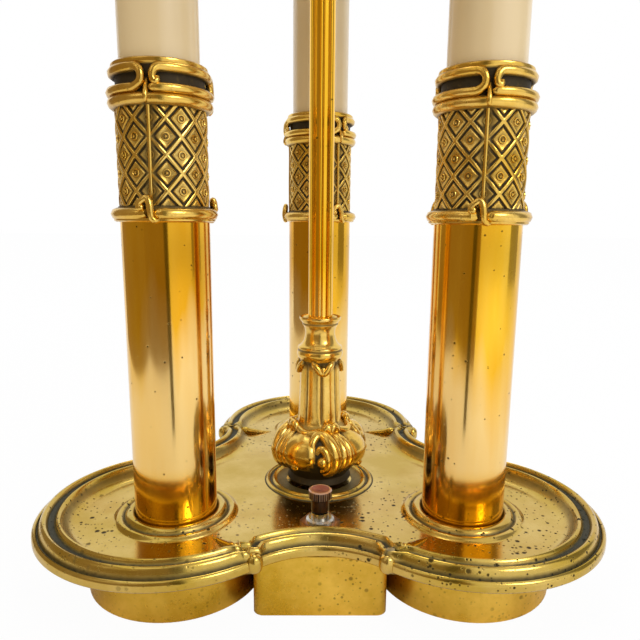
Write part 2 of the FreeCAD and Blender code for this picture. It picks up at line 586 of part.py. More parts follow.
turned("finial", [
    ("0", "rod_top"), ("rod_rad + 1.6", "rod_top"), ("rod_rad + 2.4", "rod_top + 1.2"), ("rod_rad + 1.6", "rod_top + 2.6"),
    ("rod_rad - 1.4", "rod_top + 4.4"), ("rod_rad - 1.4", "rod_top + 7"), ("finial_rad * 0.8", "rod_top + finial_high * 0.28"),
    ("finial_rad", "rod_top + finial_high * 0.42"), ("finial_rad * 0.96", "rod_top + finial_high * 0.54"),
    ("finial_rad * 0.66", "rod_top + finial_high * 0.7"), ("finial_rad * 0.32", "rod_top + finial_high * 0.82"),
    ("finial_rad * 0.34", "rod_top + finial_high * 0.92"), ("finial_rad * 0.2", "rod_top + finial_high"),
    ("0", "rod_top + finial_high")])


# Switch
front = {"y": "-switch_out"}
keep(hex_nut("switch_hex", "hex_corner * 2 * cos(30)", "hex_thick", "bush_rad", z="floor_top", **front), "switch_nut")
turned("switch_washer", [
    ("bush_rad", "floor_top + hex_thick"), ("dome_rad", "floor_top + hex_thick"),
    ("dome_rad - 0.3", "floor_top + hex_thick + dome_thick * 0.6"), ("dome_rad - 1.4", "floor_top + hex_thick + dome_thick"),
    ("bush_rad", "floor_top + hex_thick + dome_thick")], **front)
turned("switch_bushing", [
    ("shaft_rad + shaft_gap", under_floor), ("bush_rad", under_floor), ("bush_rad", "bush_top"),
    ("shaft_rad + shaft_gap", "bush_top")], **front)
turned("switch_body", [
    ("0", "switch_low"), ("switch_rad - 1", "switch_low"), ("switch_rad", "switch_low + 1"),
    ("switch_rad", under_floor), ("shaft_rad + 0.4", under_floor), ("shaft_rad + 0.4", under_floor + " - 5.4"),
    ("0", under_floor + " - 5.4")], **front)
turned("switch_shaft", [("0", under_floor + " - 5"), ("shaft_rad", under_floor + " - 5"),
                        ("shaft_rad", "barrel_top - 1"), ("0", "barrel_top - 1")], **front)
knob = turned("switch_knob", [
    ("shaft_rad", "knob_low"), ("barrel_rad - 0.5", "knob_low"), ("barrel_rad", "knob_low + 0.6"),
    ("barrel_rad", "barrel_top"), ("head_rad", "barrel_top + 0.9"), ("head_rad", "head_top - 0.4"),
    ("head_rad - 0.5", "head_top"), ("head_rad - 1", "head_top"), ("0", "head_top - dish_depth", "head_rad * 3.2", 1),
    ("0", "barrel_top - 1"), ("shaft_rad", "barrel_top - 1")], **front)
flute(knob, "knurls", KNURLS, "barrel_top + 0.9", "head_top - 0.4", ("head_rad + 0.1", "0.1 + knurl_depth"))


# Shade, spider, hub and key
def shade_rad(height):
    """The shade's outside radius at a height, as an expression."""
    return "(shade_foot + (shade_head - shade_foot) * ((%s) - shade_low) / (shade_high - shade_low))" % height


foot_mid, head_mid = "shade_foot - shade_wall / 2", "shade_head - shade_wall / 2"
lower = [("%s + roll_rad * cos(%d)" % (foot_mid, t), "shade_low + roll_rad * sin(%d)" % t)
         for t in (150, 210, 270, 330, 30)]
upper = [("%s + roll_rad * cos(%d)" % (head_mid, t), "shade_high + roll_rad * sin(%d)" % t)
         for t in (330, 30, 90, 150, 210)]
wall_ends = [("shade_foot", "shade_low + roll_rad"), ("shade_head + 0.2", "shade_high - roll_rad"),
             ("shade_head + 0.2 - shade_wall", "shade_high - roll_rad"), ("shade_foot - shade_wall", "shade_low + roll_rad")]
turned("shade_shell", lower + wall_ends[:2] + upper + wall_ends[2:])

wire_z = "shoulder + spider_thick / 2"
wire_ring = shade_rad(wire_z) + " - shade_wall - wire_gap - wire_rad * 1.08"
spider_disc = cylinder("spider_disc", "spider_rad", "spider_thick - turn_gap", z="shoulder + turn_gap")
spider_bore = cylinder("spider_bore", "spigot_rad + turn_gap", "spider_thick * 3", z="shoulder - spider_thick")
keep(cut("spider_eye", spider_disc, spider_bore), "spider_plate")
wire = turned("spider_wire", [("%s + wire_rad * %.3f" % (wire_ring, math.cos(math.radians(t))),
                               "%s + wire_rad * %.3f" % (wire_z, math.sin(math.radians(t)))) for t in range(0, 360, 60)])
made.remove(wire)
spider_parts = [wire]
for angle in LOBES.values():
    arm = cylinder("spider_arm_%d" % angle, "wire_rad * 0.75", wire_ring + " - spider_rad / 1.3", z=wire_z,
                   x="spider_rad / 1.3 * cos(%d)" % angle, y="spider_rad / 1.3 * sin(%d)" % angle)
    arm.Placement.Rotation = FreeCAD.Rotation(UP, angle).multiply(FreeCAD.Rotation(FreeCAD.Vector(0, 1, 0), 90))
    spider_parts.append(arm)
plate_room = cylinder("plate_room", "spider_rad", "spider_thick * 3", z="shoulder - spider_thick")
keep(cut("spider", fuse("spider_frame", spider_parts), plate_room), "shade_spider")

hub_bore = "rod_rad + hub_bore_gap"
hub = [turned("hub_barrel", [
    (hub_bore, "hub_low"), ("hub_rad - 1.6", "hub_low"), ("hub_rad", "hub_low + 1.6"), ("hub_rad", "shoulder - 2"),
    ("hub_rad + 1.2", "shoulder"), ("spigot_rad", "shoulder"), ("spigot_rad", "spigot_top"), (hub_bore, "spigot_top")])]
made.remove(hub[0])
key_boss = cylinder("key_boss_solid", "key_boss", "boss_long - (rod_rad + 2)", y="-boss_long", z="key_z")
key_hole = cylinder("key_hole", "key_rad + key_gap", "boss_long + 1", y="-boss_long - 1", z="key_z")
for lying in (key_boss, key_hole):
    along_y(lying)
keep(cut("hub_drilled", fuse("hub_with_boss", hub + [key_boss]), key_hole), "shade_hub")
turned("hub_ring_nut", [
    ("spigot_rad", "shoulder + spider_thick + ring_nut_gap"),
    ("ring_nut_rad - 0.8", "shoulder + spider_thick + ring_nut_gap"),
    ("ring_nut_rad", "shoulder + spider_thick + ring_nut_gap + 0.8"),
    ("ring_nut_rad", "shoulder + spider_thick + ring_nut_high - 0.8"),
    ("ring_nut_rad - 0.8", "shoulder + spider_thick + ring_nut_high"),
    ("spigot_rad", "shoulder + spider_thick + ring_nut_high")])

key_tip = "rod_rad + hub_bore_gap"
key_shank = along_y(cylinder("key_shank", "key_rad", "key_long - (%s)" % key_tip, y="-key_long", z="key_z"))
key_root = along_y(cylinder("key_root", "key_rad * 1.5", "key_long * 0.22", y="-key_long", z="key_z"))
wings = []
for sign in (1, -1):
    wing = cylinder("key_wing_%s" % ("a" if sign > 0 else "b"), "wing_rad", "wing_thick",
                    x="%d * (wing_span - wing_rad)" % sign, y="-key_long - wing_thick / 2 + wing_rad / 2", z="key_z")
    wings.append(along_y(wing))
keep(fuse("key", [key_shank, key_root] + wings), "clamp_key")


# Check every object, then write each piece
doc.recompute()
for obj in doc.Objects:
    bad = [s for s in obj.State if s in ("Invalid", "Error")]
    if bad:
        raise ValueError("%s (%s) is %s" % (obj.Name, obj.Label, bad))
os.makedirs("parts", exist_ok=True)
for obj in made:
    shape = obj.Shape
    if shape.isNull() or not shape.isValid() or not shape.Solids:
        raise ValueError(obj.Label + " has no valid solid")
for obj in made:
    obj.Shape.exportStep("parts/%s.step" % obj.Label)
print("%d pieces written" % len(made))
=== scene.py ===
"""Dresses the bouillotte lamp: aged brass, candle sleeves, cast ornament, painted shade."""
import math
import bpy
from mathutils import Matrix, Vector


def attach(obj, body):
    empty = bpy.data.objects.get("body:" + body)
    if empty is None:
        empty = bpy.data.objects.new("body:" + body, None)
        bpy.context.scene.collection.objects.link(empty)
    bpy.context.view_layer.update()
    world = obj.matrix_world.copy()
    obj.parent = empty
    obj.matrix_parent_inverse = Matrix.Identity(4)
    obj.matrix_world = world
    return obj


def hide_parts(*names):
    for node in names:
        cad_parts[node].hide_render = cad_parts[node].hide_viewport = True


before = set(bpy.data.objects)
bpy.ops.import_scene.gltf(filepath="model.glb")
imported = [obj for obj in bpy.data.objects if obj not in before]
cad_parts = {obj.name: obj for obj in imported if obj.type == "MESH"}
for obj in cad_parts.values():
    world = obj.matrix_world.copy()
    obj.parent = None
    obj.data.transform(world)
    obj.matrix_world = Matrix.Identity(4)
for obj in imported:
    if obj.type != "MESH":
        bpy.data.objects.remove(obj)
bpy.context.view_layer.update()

MM = 0.001
COLUMN_RING = 79.0
LOBE_RAD = 63.5
BRIDGE_RAD = 39.45
BRIDGE_RING = 116.45
LOBES = {"left": 210, "right": 330, "back": 90}
LOBE_HALF = 101.6
BRIDGE_HALF = 41.6


def at(angle, out, z=0.0):
    """A point in millimetres at a compass angle and a distance from the lamp's axis."""
    return Vector((out * math.cos(math.radians(angle)), out * math.sin(math.radians(angle)), z))


# Shader maths: a socket that can be added, multiplied and compared in plain expressions
class Amount:
    def __init__(self, tree, socket):
        self.tree = tree
        self.socket = socket

    def math(self, operation, *others):
        node = self.tree.nodes.new("ShaderNodeMath")
        node.operation = operation
        for socket, value in zip(node.inputs, (self,) + others):
            if isinstance(value, Amount):
                self.tree.links.new(value.socket, socket)
            else:
                socket.default_value = value
        return Amount(self.tree, node.outputs[0])

    def __add__(self, other):
        return self.math("ADD", other)

    def __radd__(self, other):
        return self.math("ADD", other)

    def __sub__(self, other):
        return self.math("SUBTRACT", other)

    def __rsub__(self, other):
        return (self * -1.0).math("ADD", other)

    def __mul__(self, other):
        return self.math("MULTIPLY", other)

    def __rmul__(self, other):
        return self.math("MULTIPLY", other)

    def __truediv__(self, other):
        return self.math("DIVIDE", other)

    def __lt__(self, other):
        return self.math("LESS_THAN", other)

    def __gt__(self, other):
        return self.math("GREATER_THAN", other)

    def ramp(self, low, high):
        """0 below low, 1 above high, straight between."""
        return ((self - low) / (high - low)).most(0.0).least(1.0)

    def root(self):
        return self.math("SQRT")

    def sine(self):
        return self.math("SINE")

    def least(self, other):
        return self.math("MINIMUM", other)

    def most(self, other):
        return self.math("MAXIMUM", other)


class Finish:
    """A material under construction."""

    def __init__(self, name):
        self.material = bpy.data.materials.new(name)
        self.material.use_nodes = True
        self.tree = self.material.node_tree
        self.shader = self.tree.nodes["Principled BSDF"]
        coordinates = self.node("ShaderNodeTexCoord")
        self.place = coordinates.outputs["Object"]

    def node(self, kind, settings=None, **inputs):
        made = self.tree.nodes.new(kind)
        for name, value in (settings or {}).items():
            setattr(made, name, value)
        for name, value in inputs.items():
            socket = made.inputs[name.replace("_", " ")]
            self.feed(socket, value)
        return made

    def feed(self, socket, value):
        if isinstance(value, Amount):
            self.tree.links.new(value.socket, socket)
        elif isinstance(value, bpy.types.NodeSocket):
            self.tree.links.new(value, socket)
        else:
            socket.default_value = value

    def amount(self, socket):
        return Amount(self.tree, socket)

    def noise(self, scale, detail=3.0, roughness=0.55, stretch=None):
        vector = self.place
        if stretch:
            vector = self.node("ShaderNodeMapping", Vector=self.place, Scale=stretch).outputs[0]
        made = self.node("ShaderNodeTexNoise", Vector=vector, Scale=scale, Detail=detail, Roughness=roughness)
        return self.amount(made.outputs["Fac"])

    def spots(self, scale, size, spread=0.5, stretch=None):
        """Small dark pits: 1 inside a pit, 0 outside, with a random size for each."""
        vector = self.place
        if stretch:
            vector = self.node("ShaderNodeMapping", Vector=self.place, Scale=stretch).outputs[0]
        cells = self.node("ShaderNodeTexVoronoi", Vector=vector, Scale=scale, Randomness=1.0)
        chance = self.node("ShaderNodeSeparateColor", Color=cells.outputs["Color"]).outputs[0]
        radius = self.amount(chance).ramp(1.0 - spread, 1.0) * size
        inside = (radius - self.amount(cells.outputs["Distance"])).ramp(0.0, size * 0.35)
        return inside

    def mix(self, factor, first, second):
        made = self.node("ShaderNodeMix", {"data_type": "RGBA"})
        self.feed(made.inputs[0], factor)
        for socket, value in ((made.inputs[6], first), (made.inputs[7], second)):
            if isinstance(value, tuple):
                value = value + (1.0,)
            self.feed(socket, value)
        return made.outputs[2]

    def axes(self):
        parts = self.node("ShaderNodeSeparateXYZ", Vector=self.place).outputs
        return [self.amount(p) for p in parts]

    def attribute(self, name):
        return self.amount(self.node("ShaderNodeAttribute", {"attribute_name": name}).outputs["Fac"])

    def bump(self, height, strength, distance):
        made = self.node("ShaderNodeBump", Height=height, Strength=strength, Distance=distance)
        self.feed(self.shader.inputs["Normal"], made.outputs[0])

    def set(self, **values):
        for name, value in values.items():
            if isinstance(value, tuple) and len(value) == 3:
                value = value + (1.0,)
            self.feed(self.shader.inputs[name.replace("_", " ")], value)
        return self


GOLD = (0.72, 0.42, 0.045)
PALE_GOLD = (0.90, 0.62, 0.17)
PLATE_GOLD = (0.69, 0.49, 0.14)
AMBER = (0.42, 0.17, 0.012)
UMBER = (0.030, 0.020, 0.008)
# Recess darks: tarnish and grime in the hollows, and painted shade there as well.
VERDIGRIS_AND_SHADE = (0.026, 0.031, 0.020)
SOOT_AND_SHADE = (0.012, 0.009, 0.005)


def aged_brass(name, light, deep, pits=1.0, dirt_and_shade_tone=None, gloss=0.10, stain=0.5, eaten=None):
    """Old lacquered brass: gold clouded with amber, dark pits in patches, and grime with painted shade where
    the casting is low.
    eaten is the middle of one more patch of pits."""
    brass = Finish(name)
    clouds = brass.noise(30.0, 5.0, 0.62)
    fine = brass.noise(420.0, 3.0, 0.6)
    tone = brass.mix(clouds.ramp(0.36, 0.64), deep, light)
    amber = brass.noise(19.0, 3.0, 0.55, stretch=(1.0, 1.0, 0.6)).ramp(0.50, 0.70)
    tone = brass.mix(amber * stain, tone, AMBER)
    tone = brass.mix(fine.ramp(0.52, 0.72) * 0.25, tone, deep)
    where = brass.noise(13.0, 3.0, 0.5).ramp(0.41, 0.58)
    if eaten:
        x, y, _ = brass.axes()
        away = ((x - eaten[0]) * (x - eaten[0]) + (y - eaten[1]) * (y - eaten[1])).root()
        where = where.most(away.ramp(0.036, 0.016))
    pit = (brass.spots(300.0, 0.40, 0.50) * where).most(brass.spots(640.0, 0.46, 0.50) * where) * pits
    pit = pit.least(1.0)
    tone = brass.mix(pit * 0.92, tone, UMBER)
    roughness = gloss + 0.14 * clouds + 0.08 * fine + 0.4 * pit
    height = fine * 0.22 + clouds * 0.3 - pit
    # Hollows and creases go dark here: partly tarnish and grime, partly painted shade.
    if dirt_and_shade_tone:
        dirt_and_shade = (brass.attribute("patina_and_shade") * (0.80 + 0.5 * fine)).least(1.0)
        tone = brass.mix(dirt_and_shade * 0.96, tone, dirt_and_shade_tone)
        roughness = roughness + 0.40 * dirt_and_shade
        brass.set(Metallic=1.0 - 0.5 * dirt_and_shade)
    else:
        brass.set(Metallic=1.0)
    brass.set(Base_Color=tone, Roughness=roughness)
    brass.bump(height, 0.35, 0.0002)
    return brass.material


def tube_brass(name):
    """Polished column brass: fine upright wipe marks, amber streaks and a few small pits."""
    brass = Finish(name)
    wipes = brass.noise(90.0, 3.0, 0.6, stretch=(1.0, 1.0, 0.10))
    streaks = brass.noise(26.0, 3.0, 0.55, stretch=(1.0, 1.0, 0.22))
    tone = brass.mix(wipes.ramp(0.36, 0.66), (0.93, 0.50, 0.016), (0.95, 0.56, 0.05))
    tone = brass.mix(streaks.ramp(0.46, 0.66) * 0.6, tone, (0.62, 0.25, 0.006))
    height = brass.axes()[2]
    flames = brass.noise(75.0, 2.0, 0.5, stretch=(1.0, 1.0, 0.07))
    worn = (height + (flames - 0.5) * 0.16).ramp(0.125, 0.088) * height.ramp(0.044, 0.060)
    tone = brass.mix(worn * (0.45 + 0.5 * wipes), tone, (0.92, 0.68, 0.30))
    pit = brass.spots(420.0, 0.30, 0.16)
    tone = brass.mix(pit * 0.8, tone, UMBER)
    brass.set(Base_Color=tone, Metallic=1.0, Roughness=0.07 + 0.10 * wipes + 0.3 * pit)
    brass.bump(wipes * 0.35 + streaks * 0.5 - pit * 0.6, 0.22, 0.0002)
    return brass.material


def ivory(name):
    """The candle sleeves' gloss cream."""
    cream = Finish(name)
    drift = cream.noise(16.0, 2.0, 0.5)
    fine = cream.noise(700.0, 2.0, 0.5)
    cream.set(Base_Color=cream.mix(drift.ramp(0.35, 0.7), (0.78, 0.60, 0.33), (0.85, 0.69, 0.41)),
              Roughness=0.24 + 0.08 * drift + 0.03 * fine, Coat_Weight=0.35, Coat_Roughness=0.12)
    cream.bump(drift + fine * 0.04, 0.08, 0.0004)
    return cream.material


def plain_metal(name, colour, dark, rough, scale=180.0):
    """Plated or turned metal with wear from one tone to another."""
    metal = Finish(name)
    wear = metal.noise(scale, 3.0, 0.6)
    metal.set(Base_Color=metal.mix(wear.ramp(0.4, 0.65), colour, dark), Metallic=1.0,
              Roughness=rough + 0.18 * wear)
    metal.bump(wear, 0.15, 0.0002)
    return metal.material


KNOB_BAND = (0.0441, 0.0476)
KNOB_RIM = (0.0474, 0.0478)
KNOB_DISH = (0.04715, 0.04735)


def knurled(name, centre, teeth):
    """Darkened bronze knob: knurled band, worn bright rim and a dished reddish top."""
    metal = Finish(name)
    x, y, z = metal.axes()
    aside, ahead = x - centre[0], y - centre[1]
    out = (aside * aside + ahead * ahead).root()
    ridges = (aside.math("ARCTAN2", ahead) * teeth).sine().ramp(-0.5, 0.7)
    band = (z > KNOB_BAND[0]) * (z < KNOB_BAND[1])
    top = z.ramp(*KNOB_DISH) * (1.0 - out.ramp(0.0040, 0.0043))
    rim = z.ramp(*KNOB_RIM) * (1.0 - top)
    wear = metal.noise(400.0, 3.0, 0.6)
    tone = metal.mix(wear.ramp(0.35, 0.7), (0.11, 0.065, 0.045), (0.045, 0.030, 0.025))
    tone = metal.mix(band * ridges * 0.85, tone, (0.42, 0.29, 0.20))
    tone = metal.mix(rim * 0.9, tone, (0.66, 0.42, 0.30))
    tone = metal.mix(top, tone, (0.30, 0.085, 0.05))
    metal.set(Base_Color=tone, Metallic=1.0 - 0.5 * top, Roughness=0.26 + 0.15 * wear)
    metal.bump(ridges * band + wear * 0.1, 0.7, 0.0003)
    return metal.material


def moulded(name, colour, light, rough):
    """Moulded plastic with a faint grain."""
    plastic = Finish(name)
    grain = plastic.noise(900.0, 2.0, 0.5)
    drift = plastic.noise(60.0, 2.0, 0.5)
    plastic.set(Base_Color=plastic.mix(drift.ramp(0.35, 0.7), colour, light), Roughness=rough + 0.1 * grain)
    plastic.bump(grain, 0.2, 0.0001)
    return plastic.material


def felt(name):
    """Green baize under the base."""
    cloth = Finish(name)
    fibres = cloth.noise(1500.0, 4.0, 0.7)
    drift = cloth.noise(40.0, 2.0, 0.5)
    blend = (fibres * 0.6 + drift * 0.4).ramp(0.35, 0.7)
    cloth.set(Base_Color=cloth.mix(blend, (0.015, 0.055, 0.03), (0.04, 0.13, 0.07)),
              Roughness=0.95, Sheen_Weight=0.4, Sheen_Roughness=0.5)
    cloth.bump(fibres, 0.8, 0.0004)
    return cloth.material


SHADE_FOOT, SHADE_FOOT_Z = 0.178, 0.3767
SHADE_HEAD, SHADE_HEAD_Z = 0.1182, 0.5183
SHADE_WALL = 0.0009
GILT_LINES = ((0.3865, 0.0012), (0.3825, 0.0005), (0.5085, 0.0012), (0.5125, 0.0005))


def painted_shade(name):
    """Painted metal: bottle green outside with gilt lines and edges, warm white inside."""
    paint = Finish(name)
    x, y, z = paint.axes()
    out = (x * x + y * y).root()
    slope = (SHADE_HEAD - SHADE_FOOT) / (SHADE_HEAD_Z - SHADE_FOOT_Z)
    wall = SHADE_FOOT + slope * (z - SHADE_FOOT_Z)
    inside = (wall - SHADE_WALL / 2 - out) > 0.0
    drift = paint.noise(30.0, 3.0, 0.55)
    fine = paint.noise(600.0, 2.0, 0.5)
    green = paint.mix(drift.ramp(0.3, 0.7), (0.010, 0.032, 0.020), (0.020, 0.055, 0.034))
    gilt = paint.mix(fine.ramp(0.4, 0.7), (0.62, 0.40, 0.13), (0.42, 0.24, 0.06))
    edge = (z < SHADE_FOOT_Z - 0.0001).most(z > SHADE_HEAD_Z)
    band = edge
    for level, half in GILT_LINES:
        band = band.most((z - level).math("ABSOLUTE") < half)
    outside = paint.mix(band, green, gilt)
    warm = paint.mix(drift.ramp(0.3, 0.7), (0.74, 0.68, 0.55), (0.80, 0.74, 0.62))
    keep_inside = inside * (1.0 - edge)
    paint.set(Base_Color=paint.mix(keep_inside, outside, warm), Metallic=band * (1.0 - keep_inside),
              Roughness=0.30 + 0.12 * drift + 0.25 * keep_inside)
    paint.bump(drift * 0.5 + fine * 0.1, 0.12, 0.0004)
    return paint.material


def clear_glass(name):
    """Clear bulb glass with a trace of dust."""
    glass = Finish(name)
    dust = glass.noise(80.0, 3.0, 0.6)
    glass.set(Base_Color=glass.mix(dust.ramp(0.4, 0.7), (0.98, 0.98, 0.97), (0.93, 0.93, 0.91)),
              Roughness=0.02 + 0.05 * dust, Transmission_Weight=1.0, IOR=1.45)
    return glass.material


FINISHES = {
    "tray": aged_brass("tray_brass", PLATE_GOLD, (0.54, 0.36, 0.05), dirt_and_shade_tone=VERDIGRIS_AND_SHADE, gloss=0.07,
                       stain=0.30, eaten=(-0.103, -0.048)),
    "cast": aged_brass("cast_brass", PALE_GOLD, GOLD, pits=0.3, dirt_and_shade_tone=SOOT_AND_SHADE, gloss=0.10, stain=0.35),
    "skirt": aged_brass("skirt_brass", (0.90, 0.60, 0.10), (0.62, 0.38, 0.03), pits=0.55, gloss=0.18,
                        stain=0.35),
    "tube": tube_brass("column_brass"),
    "ivory": ivory("candle_ivory"),
    "copper": plain_metal("nut_copper", (0.46, 0.24, 0.14), (0.12, 0.07, 0.05), 0.25),
    "nickel": plain_metal("bushing_nickel", (0.62, 0.60, 0.55), (0.34, 0.32, 0.28), 0.18),
    "bronze": knurled("knob_bronze", (0.0, -0.052), 30),
    "steel": plain_metal("pipe_steel", (0.58, 0.58, 0.56), (0.42, 0.42, 0.41), 0.3),
    "panel": plain_metal("panel_steel", (0.10, 0.10, 0.10), (0.05, 0.05, 0.05), 0.4),
    "cap": plain_metal("cap_aluminium", (0.80, 0.80, 0.79), (0.66, 0.66, 0.66), 0.25),
    "phenolic": moulded("socket_phenolic", (0.018, 0.017, 0.016), (0.035, 0.032, 0.030), 0.42),
    "lead": moulded("lead_covering", (0.30, 0.20, 0.07), (0.38, 0.26, 0.10), 0.4),
    "felt": felt("green_felt"),
    "shade": painted_shade("shade_paint"),
    "glass": clear_glass("bulb_glass"),
}


# Modelling helpers
def clear():
    """Nothing selected, nothing in edit mode."""
    if bpy.context.mode != "OBJECT":
        bpy.ops.object.mode_set(mode="OBJECT")
    bpy.ops.object.select_all(action="DESELECT")


def start_point(point):
    """A new mesh in edit mode that is one selected vertex, at a point in millimetres."""
    clear()
    bpy.ops.mesh.primitive_plane_add(size=MM)
    bpy.ops.object.mode_set(mode="EDIT")
    bpy.ops.mesh.select_mode(type="VERT")
    bpy.ops.mesh.merge(type="CENTER")
    bpy.ops.transform.translate(value=Vector(point) * MM)
    return bpy.context.object


def draw_on(start, points):
    """Draws a line of edges from the selected vertex through points in millimetres."""
    here = Vector(start)
    for point in points:
        step = (Vector(point) - here) * MM
        bpy.ops.mesh.extrude_region_move(TRANSFORM_OT_translate={"value": step})
        here = Vector(point)


def finish_mesh(piece, name, angle=40, merge=0.005):
    """Closes seams, points faces outwards, smooths, and puts the piece's place into its mesh."""
    bpy.ops.object.mode_set(mode="EDIT")
    bpy.ops.mesh.select_all(action="SELECT")
    bpy.ops.mesh.remove_doubles(threshold=merge * MM)
    bpy.ops.mesh.normals_make_consistent(inside=False)
    bpy.ops.object.mode_set(mode="OBJECT")
    bpy.ops.object.select_all(action="DESELECT")
    piece.select_set(True)
    bpy.context.view_layer.objects.active = piece
    bpy.ops.object.transform_apply(location=True, rotation=True, scale=True)
    bpy.ops.object.shade_smooth_by_angle(angle=math.radians(angle))
    piece.name = name
    piece.data.name = name
    return piece


def lathe(name, profile, steps=72, angle=40):
    """A piece turned round the Z axis from (radius, height) in millimetres."""
    points = [Vector((r, 0, z)) for r, z in profile]
    piece = start_point(points[0])
    draw_on(points[0], points[1:])
    bpy.ops.mesh.select_all(action="SELECT")
    bpy.ops.mesh.spin(steps=steps, angle=math.tau, center=(0, 0, 0), axis=(0, 0, 1))
    return finish_mesh(piece, name, angle)


def dress(piece, body, slot, finish, *nodes):
    """Rides a finished piece on its body, gives it its finish, and hides the CAD nodes it stands for."""
    piece.data.materials.clear()
    piece.data.materials.append(FINISHES[finish])
    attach(piece, body)
    if nodes:
        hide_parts(*nodes)
    return piece


def shifted_copy(piece, name, turn, shift):
    """A copy with its own mesh, turned about Z in degrees and moved in millimetres."""
    copy = piece.copy()
    copy.data = piece.data.copy()
    copy.name = name
    copy.data.name = name
    bpy.context.collection.objects.link(copy)
    copy.rotation_euler = (0, 0, math.radians(turn))
    copy.location = Vector(shift) * MM
    clear()
    copy.select_set(True)
    bpy.context.view_layer.objects.active = copy
    bpy.ops.object.transform_apply(location=True, rotation=True, scale=True)
    return copy


def mark(piece, name, rule):
    """Writes a number onto each vertex from its place in millimetres, for the finish to read."""
    layer = piece.data.attributes.new(name, "FLOAT", "POINT")
    for vertex, item in zip(piece.data.vertices, layer.data):
        item.value = rule(vertex.co / MM)


def between(a, b, c, d, t):
    """A value from b to c as t goes from 0 to 1, smooth with its neighbours a and d."""
    slope, bend, twist = c - a, 2 * a - 5 * b + 4 * c - d, 3 * b - a - 3 * c + d
    return 0.5 * (2 * b + slope * t + bend * t * t + twist * t ** 3)


def flowing(knots, pace=4.0):
    """A smooth line through knots, which are equal tuples of numbers; the first is an angle in degrees."""
    line = []
    for i in range(len(knots) - 1):
        rows = (knots[max(i - 1, 0)], knots[i], knots[i + 1], knots[min(i + 2, len(knots) - 1)])
        steps = max(4, math.ceil(abs(knots[i + 1][0] - knots[i][0]) / pace))
        for step in range(steps):
            t = step / steps
            line.append(tuple(between(a, b, c, d, t) for a, b, c, d in zip(*rows)))
    line.append(tuple(knots[-1]))
    return line


def strap(name, knots, turn=0.0, roundness=2, pace=4.0):
    """A cast strap that follows knots of (angle, distance from the axis, height, thickness)."""
    line = flowing(knots, pace)
    points = [at(turn + angle, out, z) for angle, out, z, _ in line]
    piece = start_point(points[0])
    draw_on(points[0], points[1:])
    bpy.ops.object.mode_set(mode="OBJECT")
    bpy.ops.object.convert(target="CURVE")
    piece = bpy.context.object
    curve = piece.data
    curve.bevel_depth = MM
    curve.bevel_resolution = roundness
    curve.use_fill_caps = True
    ends = curve.splines[0].points
    thick = [max(0.15, row[3]) for row in line]
    if (ends[0].co.xyz - points[0] * MM).length > (ends[-1].co.xyz - points[0] * MM).length:
        thick.reverse()
    for point, size in zip(ends, thick):
        point.radius = size
    bpy.ops.object.convert(target="MESH")
    return finish_mesh(bpy.context.object, name, 60)


def bead(name, angle, out, z, radius):
    """A small cast ball."""
    clear()
    bpy.ops.mesh.primitive_uv_sphere_add(
        segments=14, ring_count=9, radius=radius * MM, location=at(angle, out, z) * MM)
    return finish_mesh(bpy.context.object, name, 60)


def join(name, pieces):
    """Several pieces made one, each keeping its own closed shell."""
    clear()
    for piece in pieces:
        piece.select_set(True)
    bpy.context.view_layer.objects.active = pieces[0]
    bpy.ops.object.join()
    pieces[0].name = name
    pieces[0].data.name = name
    return pieces[0]


def soft_step(value, low, high):
    """0 below low, 1 above high, smooth between."""
    share = min(1.0, max(0.0, (value - low) / (high - low)))
    return share * share * (3 - 2 * share)


def fade_out(value, full, gone):
    """1 below full, 0 above gone, smooth between."""
    return 1 - soft_step(value, full, gone)


def out_of(spot):
    """A point's distance from the upright axis."""
    return math.hypot(spot.x, spot.y)


def compass(spot):
    """A point's angle round the upright axis, in degrees."""
    return math.degrees(math.atan2(spot.y, spot.x))


def aside_of(angle, pitch):
    """How far an angle lies from the nearest multiple of the pitch, with its sign."""
    return (angle + pitch / 2) % pitch - pitch / 2


# Camera
FRAME_PIXELS = 640
FOCAL_PIXELS = 609.3
CENTRE_ROW = 336.69
SENSOR = 36.0
YAW, PITCH, ROLL = 0.721, 10.964, 0.485
EYE = (-3.99, -311.31, 169.02)


def aim_camera():
    """The photograph's view, solved from the columns, collars and rim."""
    lens = bpy.data.cameras.new("camera")
    lens.sensor_width = SENSOR
    lens.lens = SENSOR * FOCAL_PIXELS / FRAME_PIXELS
    lens.shift_y = (CENTRE_ROW - FRAME_PIXELS / 2) / FRAME_PIXELS
    lens.clip_start = 0.01
    camera = bpy.data.objects.new("camera", lens)
    bpy.context.collection.objects.link(camera)
    yaw, pitch, roll = (math.radians(a) for a in (YAW, PITCH, ROLL))
    ahead = Vector((math.sin(yaw) * math.cos(pitch), math.cos(yaw) * math.cos(pitch), -math.sin(pitch)))
    right = Vector((math.cos(yaw), -math.sin(yaw), 0.0))
    up = right.cross(ahead)
    side = right * math.cos(roll) + up * math.sin(roll)
    top = up * math.cos(roll) - right * math.sin(roll)
    camera.matrix_world = Matrix((
        (side.x, top.x, -ahead.x, EYE[0] * MM),
        (side.y, top.y, -ahead.y, EYE[1] * MM),
        (side.z, top.z, -ahead.z, EYE[2] * MM),
        (0, 0, 0, 1)))
    bpy.context.scene.camera = camera


aim_camera()


